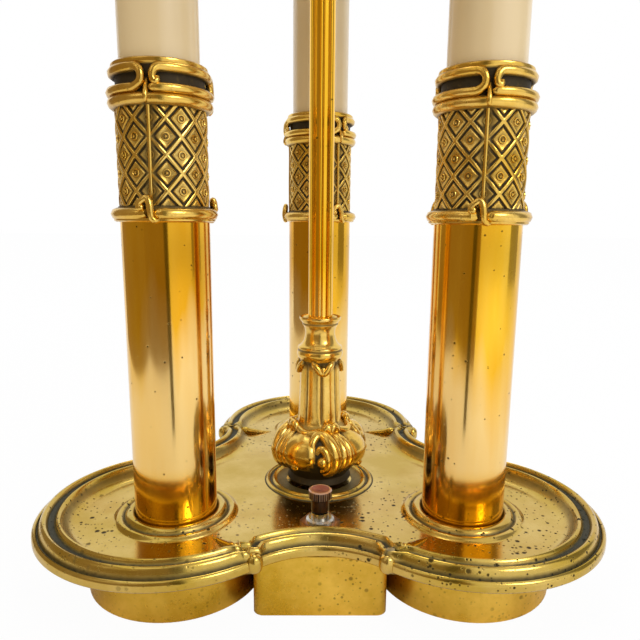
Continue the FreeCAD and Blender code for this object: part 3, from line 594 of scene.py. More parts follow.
# The tray: one rim section swept round lobes and bridges, then its floor and underside
RIM = [
    (3.4, 28.0), (0.5, 29.0), (0.0, 29.6), (0.0, 31.6), (0.15, 32.5), (0.6, 33.2), (1.3, 33.5),
    (1.8, 33.2), (2.1, 32.5), (2.5, 32.6), (2.9, 33.5), (3.3, 35.0), (3.8, 36.3), (4.5, 37.1),
    (5.2, 37.35), (5.9, 37.1), (6.4, 36.5), (6.8, 35.7), (7.1, 35.1), (7.8, 34.75), (8.6, 34.65),
    (9.4, 34.8), (9.9, 35.2), (10.2, 35.9), (10.6, 36.6), (11.2, 37.0), (11.9, 36.95), (12.5, 36.4),
    (12.9, 35.5), (13.6, 34.3), (14.8, 32.7), (16.3, 31.4), (18.0, 30.75), (20.0, 30.5)]
SEAT = [
    (19.3, 29.6), (29.4, 29.6), (29.4, 30.45), (28.6, 30.7), (27.9, 31.3), (27.2, 31.9), (26.3, 32.2),
    (25.4, 31.9), (24.8, 31.3), (24.3, 31.1), (23.9, 31.5), (23.3, 32.4), (22.4, 33.2), (21.4, 33.5),
    (20.4, 33.5), (19.7, 33.0), (19.3, 32.4), (19.3, 29.6)]
RINGS = [
    (17.6, 29.6), (29.6, 29.6), (29.6, 30.4), (29.0, 30.7), (28.5, 31.3), (27.8, 31.7), (27.1, 31.5),
    (26.7, 30.9), (26.2, 30.7), (25.5, 30.8), (25.1, 31.4), (24.4, 32.0), (23.7, 31.8), (23.2, 31.2),
    (22.4, 30.9), (17.6, 30.9), (17.6, 29.6)]
NUB = [(0.0, 28.3), (2.4, 28.3), (3.2, 29.1), (3.6, 30.6), (3.6, 32.8), (3.2, 34.4), (2.2, 35.6), (0.0, 36.1)]
KINK_REACH = 6.5
KINK_OUT = 4.2


def sweep_rim(centre, near, sign, first, turn, steps):
    """Draws the rim's section at a lobe or bridge and spins it round; leaves the edit mesh open."""
    bpy.ops.mesh.select_all(action="DESELECT")
    heading = at(first, 1.0)
    points = [centre + heading * (near + sign * inset) + Vector((0, 0, z)) for inset, z in RIM]
    bpy.ops.mesh.primitive_plane_add(size=MM)
    bpy.ops.mesh.merge(type="CENTER")
    bpy.ops.transform.translate(value=points[0] * MM)
    draw_on(points[0], points[1:])
    select_last(len(points))
    bpy.ops.mesh.spin(steps=steps, angle=math.radians(turn), center=centre * MM, axis=(0, 0, -1))


def select_last(count):
    """Selects the newest vertices in edit mode and what joins them."""
    piece = bpy.context.object
    bpy.ops.object.mode_set(mode="OBJECT")
    total = len(piece.data.vertices)
    for vertex in piece.data.vertices:
        vertex.select = vertex.index >= total - count
    bpy.ops.object.mode_set(mode="EDIT")
    bpy.ops.mesh.select_mode(type="VERT")


def rim_place(point):
    """Inset from the lip, and the distance along the rim from the nearest meeting of lobe and bridge."""
    best = None
    for angle in LOBES.values():
        lobe = at(angle, COLUMN_RING)
        away = Vector((point.x - lobe.x, point.y - lobe.y))
        turn = math.degrees(math.atan2(away.y, away.x)) - angle
        turn = (turn + 180) % 360 - 180
        if abs(turn) <= LOBE_HALF:
            inset = LOBE_RAD - away.length
            along = math.radians(LOBE_HALF - abs(turn)) * away.length
            if best is None or inset > best[0]:
                best = (inset, along)
    for angle in LOBES.values():
        hollow = at(angle + 60, BRIDGE_RING)
        away = Vector((point.x - hollow.x, point.y - hollow.y))
        turn = math.degrees(math.atan2(away.y, away.x)) - (angle + 240)
        turn = (turn + 180) % 360 - 180
        if abs(turn) <= BRIDGE_HALF and away.length < BRIDGE_RAD + 22:
            inset = away.length - BRIDGE_RAD
            along = math.radians(BRIDGE_HALF - abs(turn)) * away.length
            best = (inset, -along)
    return best if best else (60.0, 60.0)


def rim_dirt_and_shade(inset, along):
    """Grime and painted shade on the rim: dark in its channel and groove, at the cove's foot, and where lobe
    and bridge meet.
    """
    channel = soft_step(inset, 6.2, 7.2) * fade_out(inset, 9.6, 10.4)
    groove = 0.9 * soft_step(inset, 1.6, 2.1) * fade_out(inset, 2.7, 3.4)
    foot = 0.55 * soft_step(inset, 12.6, 13.4) * fade_out(inset, 13.8, 17.0)
    crease = 0.8 * fade_out(abs(along), 0.3, 1.3) * soft_step(inset, 1.5, 3) * fade_out(inset, 12, 15)
    return max(channel, groove, foot, crease)


def close_level(piece, level):
    """Fills the open edge loop that lies at a height in millimetres."""
    bpy.ops.mesh.select_all(action="DESELECT")
    bpy.ops.mesh.select_non_manifold(extend=False, use_wire=True, use_boundary=True)
    bpy.ops.object.mode_set(mode="OBJECT")
    for edge in piece.data.edges:
        heights = [piece.data.vertices[v].co.z / MM for v in edge.vertices]
        if max(abs(height - level) for height in heights) > 0.05:
            edge.select = False
    for vertex in piece.data.vertices:
        vertex.select = False
    for edge in piece.data.edges:
        if edge.select:
            for v in edge.vertices:
                piece.data.vertices[v].select = True
    bpy.ops.object.mode_set(mode="EDIT")
    bpy.ops.mesh.edge_face_add()


def tray():
    """The trefoil tray with its moulded rim."""
    clear()
    bpy.ops.mesh.primitive_plane_add(size=MM)
    piece = bpy.context.object
    bpy.ops.object.mode_set(mode="EDIT")
    bpy.ops.mesh.select_mode(type="VERT")
    bpy.ops.mesh.delete(type="VERT")
    for angle in LOBES.values():
        sweep_rim(at(angle, COLUMN_RING), LOBE_RAD, -1, angle - LOBE_HALF, 2 * LOBE_HALF, 96)
        sweep_rim(at(angle + 60, BRIDGE_RING), BRIDGE_RAD, 1, angle + 240 - BRIDGE_HALF, 2 * BRIDGE_HALF, 32)
    bpy.ops.mesh.select_all(action="SELECT")
    bpy.ops.mesh.remove_doubles(threshold=0.08 * MM)
    for level in (RIM[0][1], RIM[-1][1]):
        close_level(piece, level)
    finish_mesh(piece, "tray_casting", 35)
    places = [rim_place(v.co / MM) for v in piece.data.vertices]
    layer = piece.data.attributes.new("patina_and_shade", "FLOAT", "POINT")
    for vertex, item, (inset, along) in zip(piece.data.vertices, layer.data, places):
        item.value = rim_dirt_and_shade(inset, along)
        if abs(along) < KINK_REACH and 1.2 < inset < 19.0:
            fade = soft_step(inset, 1.2, 3.6) * fade_out(inset, 13.5, 19.0)
            outward = KINK_OUT * (1.0 - abs(along) / KINK_REACH) * fade
            vertex.co += Vector(outward_of(vertex.co / MM)) * outward * MM
    parts = [piece]
    for side, angle in LOBES.items():
        seat = lathe("seat", SEAT, 96)
        # Painted shade with tarnish in the seat's two grooves.
        mark(seat, "patina_and_shade", lambda spot: 0.85 * fade_out(abs(out_of(spot) - 24.3), 0.25, 0.9)
             + 0.7 * fade_out(abs(out_of(spot) - 19.6), 0.3, 0.8))
        parts.append(shifted_copy(seat, "seat_" + side, 0, at(angle, COLUMN_RING)))
        bpy.data.objects.remove(seat)
        for turn in (LOBE_HALF, -LOBE_HALF):
            spot = at(angle, COLUMN_RING) + at(angle + turn, LOBE_RAD)
            nub = lathe("nub", NUB, 24)
            mark(nub, "patina_and_shade", lambda spot: 0.0)
            parts.append(shifted_copy(nub, "nub", 0, spot - at(angle + turn, 1.2)))
            bpy.data.objects.remove(nub)
            parts.append(spur(spot, angle + turn))
    rings = lathe("stem_rings", RINGS, 120)
    # Painted shade with tarnish at the foot of the stem rings.
    mark(rings, "patina_and_shade", lambda spot: fade_out(spot.z, 30.6, 31.3))
    parts.append(rings)
    whole = join("tray_casting", parts)
    return dress(whole, "base", "aged_brass", "tray", "base_tray")


def spur(spot, heading):
    """The tapered rib that runs in from a meeting of lobe and bridge."""
    knots = [(0, 12.0, 31.4, 1.4), (0, 14.5, 32.4, 2.7), (0, 18.0, 31.3, 2.6), (0, 24.0, 30.4, 2.0),
             (0, 32.0, 30.0, 0.7)]
    rib = strap("spur", knots, 180, roundness=2)
    # Painted shade with tarnish at the rib's foot.
    mark(rib, "patina_and_shade", lambda spot: 0.3 * fade_out(spot.z, 30.6, 31.0))
    placed = shifted_copy(rib, "spur", heading, spot)
    bpy.data.objects.remove(rib)
    return placed


def outward_of(point):
    """The direction out of the tray at the nearest meeting of lobe and bridge."""
    best, heading = 1e9, (0, 0, 0)
    for angle in LOBES.values():
        for turn in (LOBE_HALF, -LOBE_HALF):
            way = at(angle + turn, 1.0)
            spot = at(angle, COLUMN_RING) + way * LOBE_RAD
            gap = (Vector((point.x, point.y)) - Vector((spot.x, spot.y))).length
            if gap < best:
                best, heading = gap, way
    return heading


tray()

# Collars: a turned core, the diamond band, and strapwork that hooks and turns back at three seams
BAND = 18.7
BAND_LOW, BAND_HIGH = 173.4, 212.9
BAND_BACK = 17.4
NODE_Z = 200.7
ROW = 7.1
SEAM_PITCH = 120
ACROSS = BAND * math.radians(20)
SEAMS = {"left": 267.1, "right": 259.8, "back": 305.0}
CELL = [(0, 0.40), (0.04, 0.36), (0.068, 0.2), (0.09, -0.5), (0.15, -0.6), (0.185, -0.1), (0.22, 0.14),
        (0.3, -0.10), (0.4, -0.22), (0.5, -0.22)]
COLLAR_CORE = [
    (13.0, 152.0), (17.7, 152.0), (17.7, 167.0), (20.6, 167.0), (21.5, 167.6), (21.4, 168.6),
    (20.2, 169.2), (19.8, 171.5), (19.4, 173.4), (18.0, 173.9), (17.9, 212.4), (20.2, 212.6),
    (21.2, 213.4), (21.8, 214.8), (21.5, 216.0), (20.4, 216.9), (19.2, 217.6), (18.5, 219.5),
    (18.3, 222.6), (18.4, 225.0), (19.0, 227.4), (19.6, 228.3), (19.9, 229.0), (19.7, 229.9),
    (19.0, 230.4), (16.8, 230.4), (16.8, 200.0), (13.0, 200.0), (13.0, 152.0)]
LOW_STRAP = [
    (4.0, 20.7, 170.4, 1.3), (7.0, 20.4, 170.4, 2.1), (12, 20.1, 170.3, 2.6), (36, 20.1, 170.3, 2.6),
    (80, 20.1, 170.3, 2.6), (105, 20.1, 170.3, 2.6), (111, 20.3, 170.4, 2.2), (115, 20.8, 170.7, 1.4)]
TOP_STRAP = [
    (3.5, 20.7, 218.4, 0.9), (6.5, 20.5, 218.6, 1.6), (12, 20.2, 218.8, 1.95), (36, 20.2, 218.8, 1.95),
    (80, 20.2, 218.8, 1.95), (102, 20.2, 218.8, 1.95), (108, 20.5, 219.2, 1.8), (113.6, 20.9, 220.6, 1.7),
    (115.6, 21.0, 222.8, 1.6), (113.6, 20.6, 225.2, 1.7), (108, 19.8, 226.4, 1.9),
    (101, 19.2, 226.6, 2.1), (80, 19.1, 226.6, 2.1), (36, 19.1, 226.6, 2.1), (19, 19.2, 226.6, 2.1),
    (12.5, 19.7, 226.2, 1.9), (8.6, 20.4, 224.7, 1.7), (7.6, 20.7, 222.5, 1.5), (9.6, 20.8, 221.0, 1.4),
    (12.6, 20.7, 221.2, 1.3), (13.4, 20.3, 222.6, 1.0)]
HOOK = [
    (-9, 21.4, 172.2, 0.8), (-12.6, 21.6, 172.4, 1.2), (-12.8, 21.4, 174.2, 1.3),
    (-8.0, 21.2, 175.9, 1.5), (-3.0, 21.2, 176.5, 1.5), (-0.2, 21.6, 174.3, 1.6),
    (0.8, 22.0, 171.4, 1.5), (1.8, 21.8, 168.8, 1.3), (5.2, 21.4, 167.7, 1.3), (9.0, 20.9, 168.0, 0.7)]
SEAM_RIB = [(0, 18.6, 173.6, 0.75), (0, 18.7, 190, 0.75), (0, 18.7, 212.4, 0.75), (0, 21.0, 213.4, 0.8),
            (0, 21.8, 215.4, 1.0), (0, 20.4, 218.8, 1.0), (0, 18.9, 222, 0.8)]


def diamond_tile(dotted):
    """One flat diamond cell at the origin: rib edges, a groove, a raised inner diamond, ring and dot."""
    half = len(CELL) - 1
    clear()
    bpy.ops.mesh.primitive_grid_add(x_subdivisions=2 * half, y_subdivisions=2 * half, size=2.0)
    tile = bpy.context.object

    def share(value):
        step = round((value + 1) * half)
        return CELL[step][0] if step <= half else 1 - CELL[2 * half - step][0]

    rises = dict(CELL)
    for vertex in tile.data.vertices:
        a, b = share(vertex.co.x), share(vertex.co.y)
        edge = min(a, 1 - a, b, 1 - b)
        rise = rises[min(rises, key=lambda mark: abs(mark - edge))]
        vertex.co = Vector((ACROSS * (a + b - 1), -rise, ROW * (a - b))) * MM
    if not dotted:
        return tile
    bpy.ops.mesh.primitive_torus_add(
        major_radius=1.42 * MM, minor_radius=0.34 * MM, major_segments=14, minor_segments=6,
        location=(0, -0.05 * MM, 0), rotation=(math.pi / 2, 0, 0))
    ring = bpy.context.object
    bpy.ops.mesh.primitive_uv_sphere_add(
        segments=8, ring_count=5, radius=0.6 * MM, location=(0, 0.02 * MM, 0))
    dot = bpy.context.object
    clear()
    for piece in (ring, dot, tile):
        piece.select_set(True)
    bpy.context.view_layer.objects.active = tile
    bpy.ops.object.transform_apply(location=True, rotation=True, scale=True)
    bpy.ops.object.join()
    return tile


def seam_gap(angle):
    """Distance along the band from the nearest seam, in millimetres."""
    return abs(aside_of(angle, SEAM_PITCH)) * math.radians(1) * BAND


def valley_at(gap):
    """How far the band sinks at a distance from a seam."""
    return 0.75 * fade_out(gap, 0.6, 4.2)


def diamond_band():
    """The band of diamonds, laid flat in rows, trimmed, bent round the collar, and given its wall."""
    dotted, plain = diamond_tile(True), diamond_tile(False)
    copies = []
    for column in range(18):
        for level in range(-4, 3):
            if (column + level) % 2 == 0:
                model = dotted if -3 <= level <= 1 else plain
                place = (ACROSS * (column + 1), 0, NODE_Z + ROW * level)
                copies.append(shifted_copy(model, "cell", 0, place))
    for model in (dotted, plain):
        bpy.data.objects.remove(model)
    band = join("diamond_band", copies)
    bpy.ops.object.mode_set(mode="EDIT")
    for level, outer in ((BAND_HIGH, True), (BAND_LOW, False)):
        bpy.ops.mesh.select_all(action="SELECT")
        bpy.ops.mesh.bisect(
            plane_co=(0, 0, level * MM), plane_no=(0, 0, 1), clear_outer=outer, clear_inner=not outer)
    bpy.ops.object.mode_set(mode="OBJECT")
    for vertex in band.data.vertices:
        flat = vertex.co / MM
        angle = flat.x / BAND
        out = BAND - flat.y - valley_at(seam_gap(math.degrees(angle)))
        vertex.co = Vector((out * math.cos(angle), out * math.sin(angle), flat.z)) * MM
    bpy.ops.object.mode_set(mode="EDIT")
    bpy.ops.mesh.select_all(action="SELECT")
    bpy.ops.mesh.remove_doubles(threshold=0.02 * MM)
    bpy.ops.mesh.select_all(action="DESELECT")
    bpy.ops.mesh.select_non_manifold(
        extend=False, use_wire=False, use_multi_face=False, use_non_contiguous=False)
    bpy.ops.mesh.extrude_edges_move()
    bpy.ops.object.mode_set(mode="OBJECT")
    for vertex in band.data.vertices:
        if vertex.select:
            share = BAND_BACK * MM / out_of(vertex.co)
            vertex.co.x *= share
            vertex.co.y *= share
    bpy.ops.object.mode_set(mode="EDIT")
    bpy.ops.mesh.bridge_edge_loops()
    return finish_mesh(band, "diamond_band", 32, 0.001)


def collar_shade(point):
    """Painted shade with tarnish at a point of the collar: dark in the grooves, recesses and by the seams."""
    out = out_of(point)
    gap = seam_gap(compass(point))
    if BAND_LOW + 0.2 < point.z < BAND_HIGH - 0.3 and out < 20.2:
        depth = BAND - valley_at(gap) - out
        return max(soft_step(depth, -0.12, 0.42), 0.75 * fade_out(gap, 1.0, 6.0) * fade_out(-depth, 0.2, 0.5))
    if 219.5 < point.z < 225.6:
        return soft_step(20.8 - out, 0.3, 1.6)
    if point.z > 228.0:
        return soft_step(19.6 - out, 0.3, 1.6)
    low = soft_step(21.4 - out, 0.5, 2.4)
    under = 0.8 if 171.8 < point.z < 174.2 and out < 20.6 else 0.0
    seam = 0.9 * fade_out(gap, 0.8, 2.2) * soft_step(21.0 - out, 0.0, 1.0)
    return max(low, under, seam)


def collars():
    """One collar, copied to the three columns and turned to its own seams."""
    parts = [lathe("core", COLLAR_CORE, 96), diamond_band()]
    for seam in (0, 120, 240):
        parts.append(strap("low_strap", LOW_STRAP, seam))
        parts.append(strap("top_strap", TOP_STRAP, seam))
        parts.append(strap("hook", HOOK, seam, pace=2.0))
        parts.append(bead("hook_end", seam - 10.4, 21.5, 172.8, 1.5))
        parts.append(strap("seam_rib", SEAM_RIB, seam, roundness=1))
    model = join("collar_model", parts)
    mark(model, "patina_and_shade", collar_shade)
    for side, angle in LOBES.items():
        piece = shifted_copy(model, "collar_casting_" + side, SEAMS[side], at(angle, COLUMN_RING))
        dress(piece, "base", "aged_brass", "cast", "collar_" + side)
    bpy.data.objects.remove(model)


collars()

# Stem: a bulb with four smooth bosses, leaf scrolls between them, a ribbon at the neck and a reeded neck
STEM_LINE = [
    (8.0, 33.2), (17.0, 33.2), (17.4, 34.6), (16.6, 36.2), (17.6, 38.0), (19.6, 40.0), (21.4, 42.2),
    (22.6, 44.6), (23.3, 47.2), (23.5, 49.6), (23.2, 52.2), (22.3, 54.8), (20.8, 57.2), (18.6, 59.4),
    (16.0, 61.0), (13.4, 62.2), (11.9, 63.4), (11.4, 65.0), (11.2, 68.0), (10.9, 74.0), (10.6, 80.0),
    (10.4, 86.0), (10.2, 92.0), (10.2, 95.6), (10.7, 96.8), (10.7, 97.0), (5.4, 97.0), (5.4, 36.0),
    (8.0, 33.2)]
REEDS = 8
REED_TURN = 5
BULB_TOP = 62
BOSS_TURN, BOSS_HALF = -30, 25.0
BOSS_Z, BOSS_HIGH = 52.0, 9.6


def stem_out(height):
    """The stem's plain radius at a height."""
    for (r0, z0), (r1, z1) in zip(STEM_LINE[1:-3], STEM_LINE[2:-3]):
        if z0 <= height <= z1 and z1 > z0:
            return r0 + (r1 - r0) * (height - z0) / (z1 - z0)
    return 10.2


def boss_rise(turn, height):
    """0 outside the bosses, up to 1 on top of one; turn is the compass angle less that of the front."""
    aside = aside_of(turn - BOSS_TURN, 90)
    spread = (aside / BOSS_HALF) ** 2 + ((height - BOSS_Z) / BOSS_HIGH) ** 2
    return math.sqrt(max(0.0, 1 - spread))


# Each scroll and bow is knots of (angle, rise above the stem, height, thickness), once in each quarter
SCROLLS = [
    [(-8.0, 0.2, 54.8, 1.2), (-10.5, 0.6, 57.2, 2.0), (-5.0, 0.8, 60.4, 2.6), (5.0, 1.0, 60.6, 3.0),
     (14, 0.8, 57.6, 3.4), (19.5, 0.6, 52.0, 3.7), (19.5, 0.3, 46.6, 3.4), (14.5, 0.2, 42.4, 2.6),
     (7.0, 0.0, 40.8, 1.6)],
    [(-4.5, 0.0, 52.6, 1.2), (1.0, 0.6, 55.2, 1.9), (7.5, 1.0, 53.8, 2.2), (10.5, 1.2, 49.0, 2.3),
     (8.0, 0.8, 44.6, 1.9), (2.0, 0.4, 43.6, 1.3)],
    [(23.0, -0.8, 61.2, 1.2), (29.0, -0.2, 58.0, 2.6), (32.0, 0.4, 52.0, 3.6), (31.0, 0.0, 46.4, 3.2),
     (28.0, -0.6, 41.8, 1.6)],
    [(34.0, -0.8, 60.6, 1.1), (39.0, -0.2, 57.0, 2.2), (42.0, 0.3, 51.6, 3.0), (41.0, 0.0, 46.8, 2.7),
     (38.5, -0.6, 42.6, 1.3)],
    [(44.0, -0.8, 58.8, 1.0), (48.5, -0.1, 54.8, 1.9), (50.6, 0.3, 50.2, 2.4), (49.6, 0.0, 46.2, 2.1),
     (47.0, -0.4, 43.2, 1.1)]]
BOW = [(-9.0, 3.2, 61.4, 1.1), (-13.5, 3.4, 60.4, 1.7), (-13.0, 3.3, 63.0, 2.0), (-6.0, 3.4, 64.3, 2.2),
       (-1.6, 3.6, 62.0, 2.1), (-2.6, 4.0, 59.4, 1.6)]
LEAF = [(-31, 10.4, 97.4, 1.0), (-26, 10.7, 96.0, 1.6), (-17, 10.9, 94.2, 1.9), (-8, 11.1, 92.0, 1.8),
        (-2.4, 11.2, 91.4, 1.4), (-1.6, 11.0, 93.4, 1.1), (-5.0, 10.9, 94.2, 0.8)]


def stem_shade(point):
    """Dark in the hollows of the stem's ornament and under the bulb."""
    out = out_of(point)
    turn = compass(point) - 270
    if point.z > BULB_TOP + 2.5:
        away = abs(aside_of(turn - REED_TURN, 360 / REEDS))
        under = 0.8 * soft_step(point.z, 93.6, 95.4) * soft_step(11.6 - out, 0.0, 0.5)
        return max(under, 0.75 * fade_out(away, 1.2, 4.2) * soft_step(11.8 - out, 0.1, 0.6))
    boss = boss_rise(turn, point.z)
    level = stem_out(point.z) + 1.5 * boss
    hollow = soft_step(level + 1.2 - out, 0.3, 2.2) * fade_out(boss, 0.1, 0.4)
    return max(fade_out(point.z, 38.5, 42.5), hollow)


def stem():
    """The ornamental stem casting under the rod."""
    piece = lathe("bulb", STEM_LINE, 144, 50)
    for vertex in piece.data.vertices:
        spot = vertex.co / MM
        out = out_of(spot)
        if out < 5.6 or spot.z < 34:
            continue
        turn = compass(spot) - 270
        if spot.z < BULB_TOP:
            boss = boss_rise(turn, spot.z)
            change = 2.4 * boss - 0.9 * fade_out(boss, 0, 0.3)
        else:
            away = abs(aside_of(turn - REED_TURN, 360 / REEDS))
            crown = 0.45 - 1.0 * fade_out(away, 0.5, 5.0) - 0.5 * (1 - away * REEDS / 180)
            change = crown * soft_step(spot.z, 64, 67) * fade_out(spot.z, 94, 96.5)
        share = (out + change) / out
        vertex.co.x *= share
        vertex.co.y *= share
    parts = [piece]
    for quarter in (0, 90, 180, 270):
        front = 270 + quarter
        for knots in SCROLLS:
            onto = [(angle, stem_out(z) - 1.0 + rise, z, thick) for angle, rise, z, thick in knots]
            parts.append(strap("scroll", onto, front, pace=3.0))
        for facing in (1, -1):
            onto = [(facing * angle, 11.6 + rise, z, thick) for angle, rise, z, thick in BOW]
            parts.append(strap("bow", onto, front + 22, pace=3.0))
        parts.append(bead("berry", front + 3.5, 22.8, 48.6, 3.0))
        parts.append(bead("seed", front + 59.0, 23.2, 45.2, 2.3))
        swag = []
        for step in range(13):
            sag = math.sin(math.radians(step * 15))
            swag.append((30 + 4 * step, 14.2 + 1.4 * sag, 61.9 - 1.1 * sag, 2.0))
        parts.append(strap("swag", swag, front + 13, pace=4.0))
        for facing in (-1, 1):
            turned = [(facing * angle, out, z, thick) for angle, out, z, thick in LEAF]
            parts.append(strap("leaf", turned, front + 8 + 1.5 * facing, pace=3.0))
    model = join("stem_ornament", parts)
    mark(model, "patina_and_shade", stem_shade)
    return dress(model, "base", "aged_brass", "cast", "stem_casting")


stem()

# Cup between the stem and the rod
CUP = [
    (5.4, 97.0), (10.6, 97.0), (11.0, 97.9), (11.7, 98.9), (12.0, 100.2), (11.8, 101.5), (11.2, 102.2),
    (11.3, 102.7), (11.6, 103.3), (11.4, 104.0), (10.5, 104.6), (9.4, 105.6), (8.5, 107.2),
    (7.9, 109.2), (7.7, 111.4), (8.0, 113.4), (8.7, 114.9), (9.3, 115.5), (9.2, 116.0), (9.5, 116.8),
    (10.4, 117.9), (10.8, 118.8), (10.5, 119.5), (9.9, 119.6), (8.8, 118.8), (7.6, 117.4), (6.8, 115.8),
    (6.46, 114.0), (6.46, 109.0), (5.4, 109.0), (5.4, 97.0)]


def cup():
    """The waisted cup that holds the rod."""
    piece = lathe("rod_cup", CUP, 96, 50)
    # Painted shade with tarnish in the cup's two grooves and inside its lip.
    mark(piece, "patina_and_shade", lambda spot: max(
        0.75 * fade_out(abs(spot.z - 102.4), 0.15, 0.7) * soft_step(out_of(spot), 10.5, 11.0),
        0.8 * fade_out(abs(spot.z - 116.0), 0.1, 0.6),
        0.7 * soft_step(spot.z, 113.0, 115.0) * fade_out(out_of(spot), 7.4, 8.6)))
    dress(piece, "base", "aged_brass", "cast", "stem_cup")


cup()

# Skirt: three drums and three flat faces with rounded corners
DRUM = 41.0
FACE_OUT = 75.4
FACE_HALF = 29.0
CORNER = 4.5
WALL = 2.5
HOLE_RAD, HOLE_Z = 6.0, 13.0


def skirt_outline():
    """The skirt's outside in plan, once round, in millimetres."""
    sunk = COLUMN_RING * math.sin(math.radians(60)) - FACE_HALF
    meet = COLUMN_RING * 0.5 + math.sqrt(DRUM ** 2 - sunk ** 2)
    bend = math.degrees(math.atan2(meet - COLUMN_RING * 0.5, sunk))
    reach = 120 + 30 - bend
    outline = []
    for lobe, face in ((210, 270), (330, 30), (90, 150)):
        for step in range(57):
            turn = lobe - reach + 2 * reach * step / 56
            outline.append(at(lobe, COLUMN_RING) + at(turn, DRUM))
        for side in (-1, 1):
            corner = at(face, FACE_OUT - CORNER) + at(face + 90, side * (FACE_HALF - CORNER))
            for step in range(9):
                turn = face + (-90 + 90 * step / 8 if side < 0 else 90 * step / 8)
                outline.append(corner + at(turn, CORNER))
    return outline


def skirt():
    """The skirt as one closed wall, with the hole for the cord's bushing."""
    outline = skirt_outline()
    start = outline[0] + Vector((0, 0, 0.4))
    piece = start_point(start)
    draw_on(start, [point + Vector((0, 0, 0.4)) for point in outline[1:]])
    bpy.ops.mesh.select_all(action="SELECT")
    bpy.ops.mesh.edge_face_add()
    bpy.ops.mesh.delete(type="ONLY_FACE")
    bpy.ops.mesh.select_all(action="SELECT")
    for rise in (0.8, 26.0, 0.8):
        bpy.ops.mesh.extrude_edges_move(TRANSFORM_OT_translate={"value": (0, 0, rise * MM)})
    bpy.ops.mesh.select_all(action="SELECT")
    bpy.ops.mesh.normals_make_consistent(inside=False)
    bpy.ops.object.mode_set(mode="OBJECT")
    wall = piece.modifiers.new("wall", "SOLIDIFY")
    wall.thickness = WALL * MM
    wall.offset = -1.0
    bpy.ops.object.modifier_apply(modifier="wall")
    bpy.ops.mesh.primitive_cylinder_add(
        vertices=48, radius=HOLE_RAD * MM, depth=20 * MM,
        location=(0, (COLUMN_RING + DRUM) * MM, HOLE_Z * MM), rotation=(math.pi / 2, 0, 0))
    drill = bpy.context.object
    clear()
    bpy.context.view_layer.objects.active = piece
    hole = piece.modifiers.new("hole", "BOOLEAN")
    hole.operation = "DIFFERENCE"
    hole.object = drill
    bpy.ops.object.modifier_apply(modifier="hole")
    bpy.data.objects.remove(drill)
    finish_mesh(piece, "skirt_wall", 35, 0.002)
    dress(piece, "base", "aged_brass", "skirt", "base_skirt")


skirt()


# Lights and setting
def card(name, points, shade):
    """A dark studio card: it shows in the brass and lets the camera see past it."""
    clear()
    bpy.ops.mesh.primitive_plane_add(size=1.0)
    piece = bpy.context.object
    for vertex, point in zip(piece.data.vertices, points):
        vertex.co = Vector(point)
    piece.name = name
    grey = Finish(name)
    grey.set(Base_Color=(0.0, 0.0, 0.0), Roughness=1.0, Emission_Color=shade, Emission_Strength=1.0)
    path = grey.node("ShaderNodeLightPath")
    clear_view = grey.node("ShaderNodeBsdfTransparent")
    both = grey.node("ShaderNodeMixShader")
    grey.tree.links.new(path.outputs["Is Camera Ray"], both.inputs[0])
    grey.tree.links.new(grey.shader.outputs[0], both.inputs[1])
    grey.tree.links.new(clear_view.outputs[0], both.inputs[2])
    grey.tree.links.new(both.outputs[0], grey.tree.nodes["Material Output"].inputs[0])
    piece.data.materials.append(grey.material)
    piece.visible_shadow = False


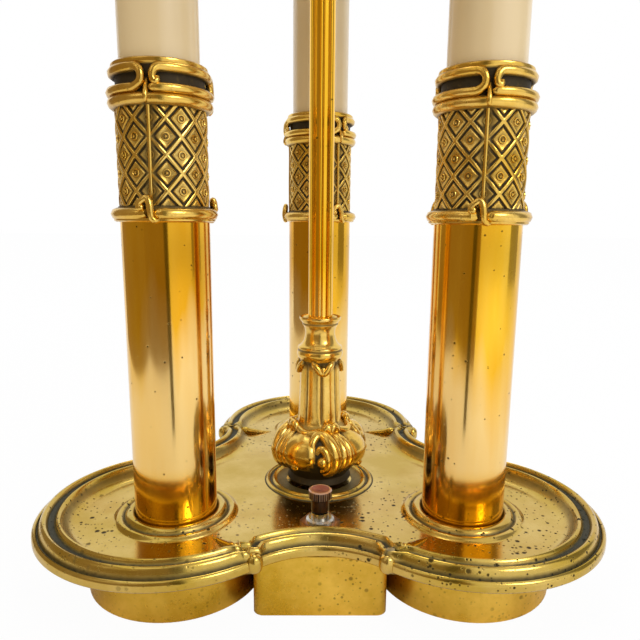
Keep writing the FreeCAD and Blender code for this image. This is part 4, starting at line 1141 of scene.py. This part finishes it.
def studio():
    """White room, pale floor, soft lamps, and grey cards on the camera's left that the brass mirrors."""
    world = bpy.data.worlds.new("studio")
    bpy.context.scene.world = world
    world.use_nodes = True
    nodes, links = world.node_tree.nodes, world.node_tree.links
    plain = nodes["Background"]
    plain.inputs[0].default_value = (0.94, 0.95, 1.0, 1)
    plain.inputs[1].default_value = 0.85
    white = nodes.new("ShaderNodeBackground")
    white.inputs[0].default_value = (1, 1, 1, 1)
    white.inputs[1].default_value = 1.0
    rays = nodes.new("ShaderNodeLightPath")
    either = nodes.new("ShaderNodeMath")
    either.operation = "MAXIMUM"
    links.new(rays.outputs["Is Camera Ray"], either.inputs[0])
    links.new(rays.outputs["Is Transmission Ray"], either.inputs[1])
    most = nodes.new("ShaderNodeMath")
    most.operation = "MAXIMUM"
    links.new(either.outputs[0], most.inputs[0])
    links.new(rays.outputs["Is Glossy Ray"], most.inputs[1])
    blend = nodes.new("ShaderNodeMixShader")
    links.new(most.outputs[0], blend.inputs[0])
    links.new(plain.outputs[0], blend.inputs[1])
    links.new(white.outputs[0], blend.inputs[2])
    links.new(blend.outputs[0], nodes["World Output"].inputs[0])
    clear()
    bpy.ops.mesh.primitive_plane_add(size=12.0)
    floor = bpy.context.object
    floor.name = "floor"
    paint = Finish("floor_white")
    haze = paint.noise(3.0, 2.0, 0.5)
    paint.set(Base_Color=paint.mix(haze, (0.93, 0.93, 0.93), (0.95, 0.95, 0.95)), Roughness=0.7)
    glow = paint.node("ShaderNodeEmission", Color=(1, 1, 1, 1), Strength=1.0)
    path = paint.node("ShaderNodeLightPath")
    both = paint.node("ShaderNodeMixShader")
    share = paint.amount(path.outputs["Is Camera Ray"]).math("MULTIPLY", 0.965)
    paint.tree.links.new(share.socket, both.inputs[0])
    paint.tree.links.new(paint.shader.outputs[0], both.inputs[1])
    paint.tree.links.new(glow.outputs[0], both.inputs[2])
    paint.tree.links.new(both.outputs[0], paint.tree.nodes["Material Output"].inputs[0])
    floor.data.materials.append(paint.material)

    def upright(first, last, low, high):
        return [(x, y, z) for z in (low, high) for x, y in (first, last)]

    card("left_card", upright((-0.56, 0.34), (-0.42, -0.42), 0.0, 0.80), (0.32, 0.24, 0.14))
    card("front_card", upright((-0.42, -0.42), (0.03, -0.50), 0.0, 0.80), (0.30, 0.22, 0.12))
    card("near_card", [(-0.03, -0.27, 0.0), (0.0, -0.27, 0.0), (-0.11, -0.45, 1.4), (0.07, -0.45, 1.4)],
         (0.10, 0.085, 0.04))
    card("right_card", upright((1.5, -0.35), (1.5, 0.5), 0.0, 2.2), (0.30, 0.29, 0.28))
    for name, place, size, power, tint in (
            ("key_lamp", (0.9, -1.0, 1.1), 0.6, 7.0, (1.0, 0.98, 0.94)),
            ("fill_lamp", (-0.9, -0.9, 1.2), 0.5, 5.5, (1.0, 0.99, 0.97)),
            ("top_lamp", (0.1, 0.5, 1.7), 0.8, 6.0, (1.0, 1.0, 1.0))):
        lamp = bpy.data.lights.new(name, "AREA")
        lamp.shape = "DISK"
        lamp.size = size
        lamp.energy = power
        lamp.color = tint
        holder = bpy.data.objects.new(name, lamp)
        holder.location = place
        holder.rotation_euler = (Vector((0, 0, 0.2)) - Vector(place)).to_track_quat("-Z", "Y").to_euler()
        bpy.context.collection.objects.link(holder)


studio()

# Finishes of the CAD pieces
NODE_FINISH = {
    "base_tray": "tray", "base_skirt": "skirt", "bottom_plate": "panel", "felt_pad": "felt",
    "bottom_screws": "steel", "cord_bushing": "phenolic", "column_tube": "tube", "collar": "cast",
    "candle_sleeve": "ivory", "socket_body": "phenolic", "socket_shell": "tube", "bulb_cap": "cap",
    "bulb_glass": "glass", "column_pipe": "steel", "column_fasteners": "steel", "lead": "lead",
    "stem_casting": "cast", "stem_cup": "cast", "stem_pipe": "steel", "stem_nut": "steel",
    "reeded_rod": "tube", "finial": "cast", "switch_nut": "copper", "switch_washer": "nickel",
    "switch_bushing": "nickel", "switch_body": "phenolic", "switch_shaft": "steel",
    "switch_knob": "bronze", "shade_hub": "tube", "hub_ring_nut": "tube", "shade_shell": "shade",
    "shade_spider": "tube", "spider_plate": "tube", "clamp_key": "cast"}
for node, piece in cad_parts.items():
    plain = node
    for side in LOBES:
        plain = plain.removesuffix("_" + side)
    finish = FINISHES[NODE_FINISH[plain]]
    piece.data.materials.clear()
    piece.data.materials.append(finish)

bpy.context.scene.view_settings.view_transform = "Standard"
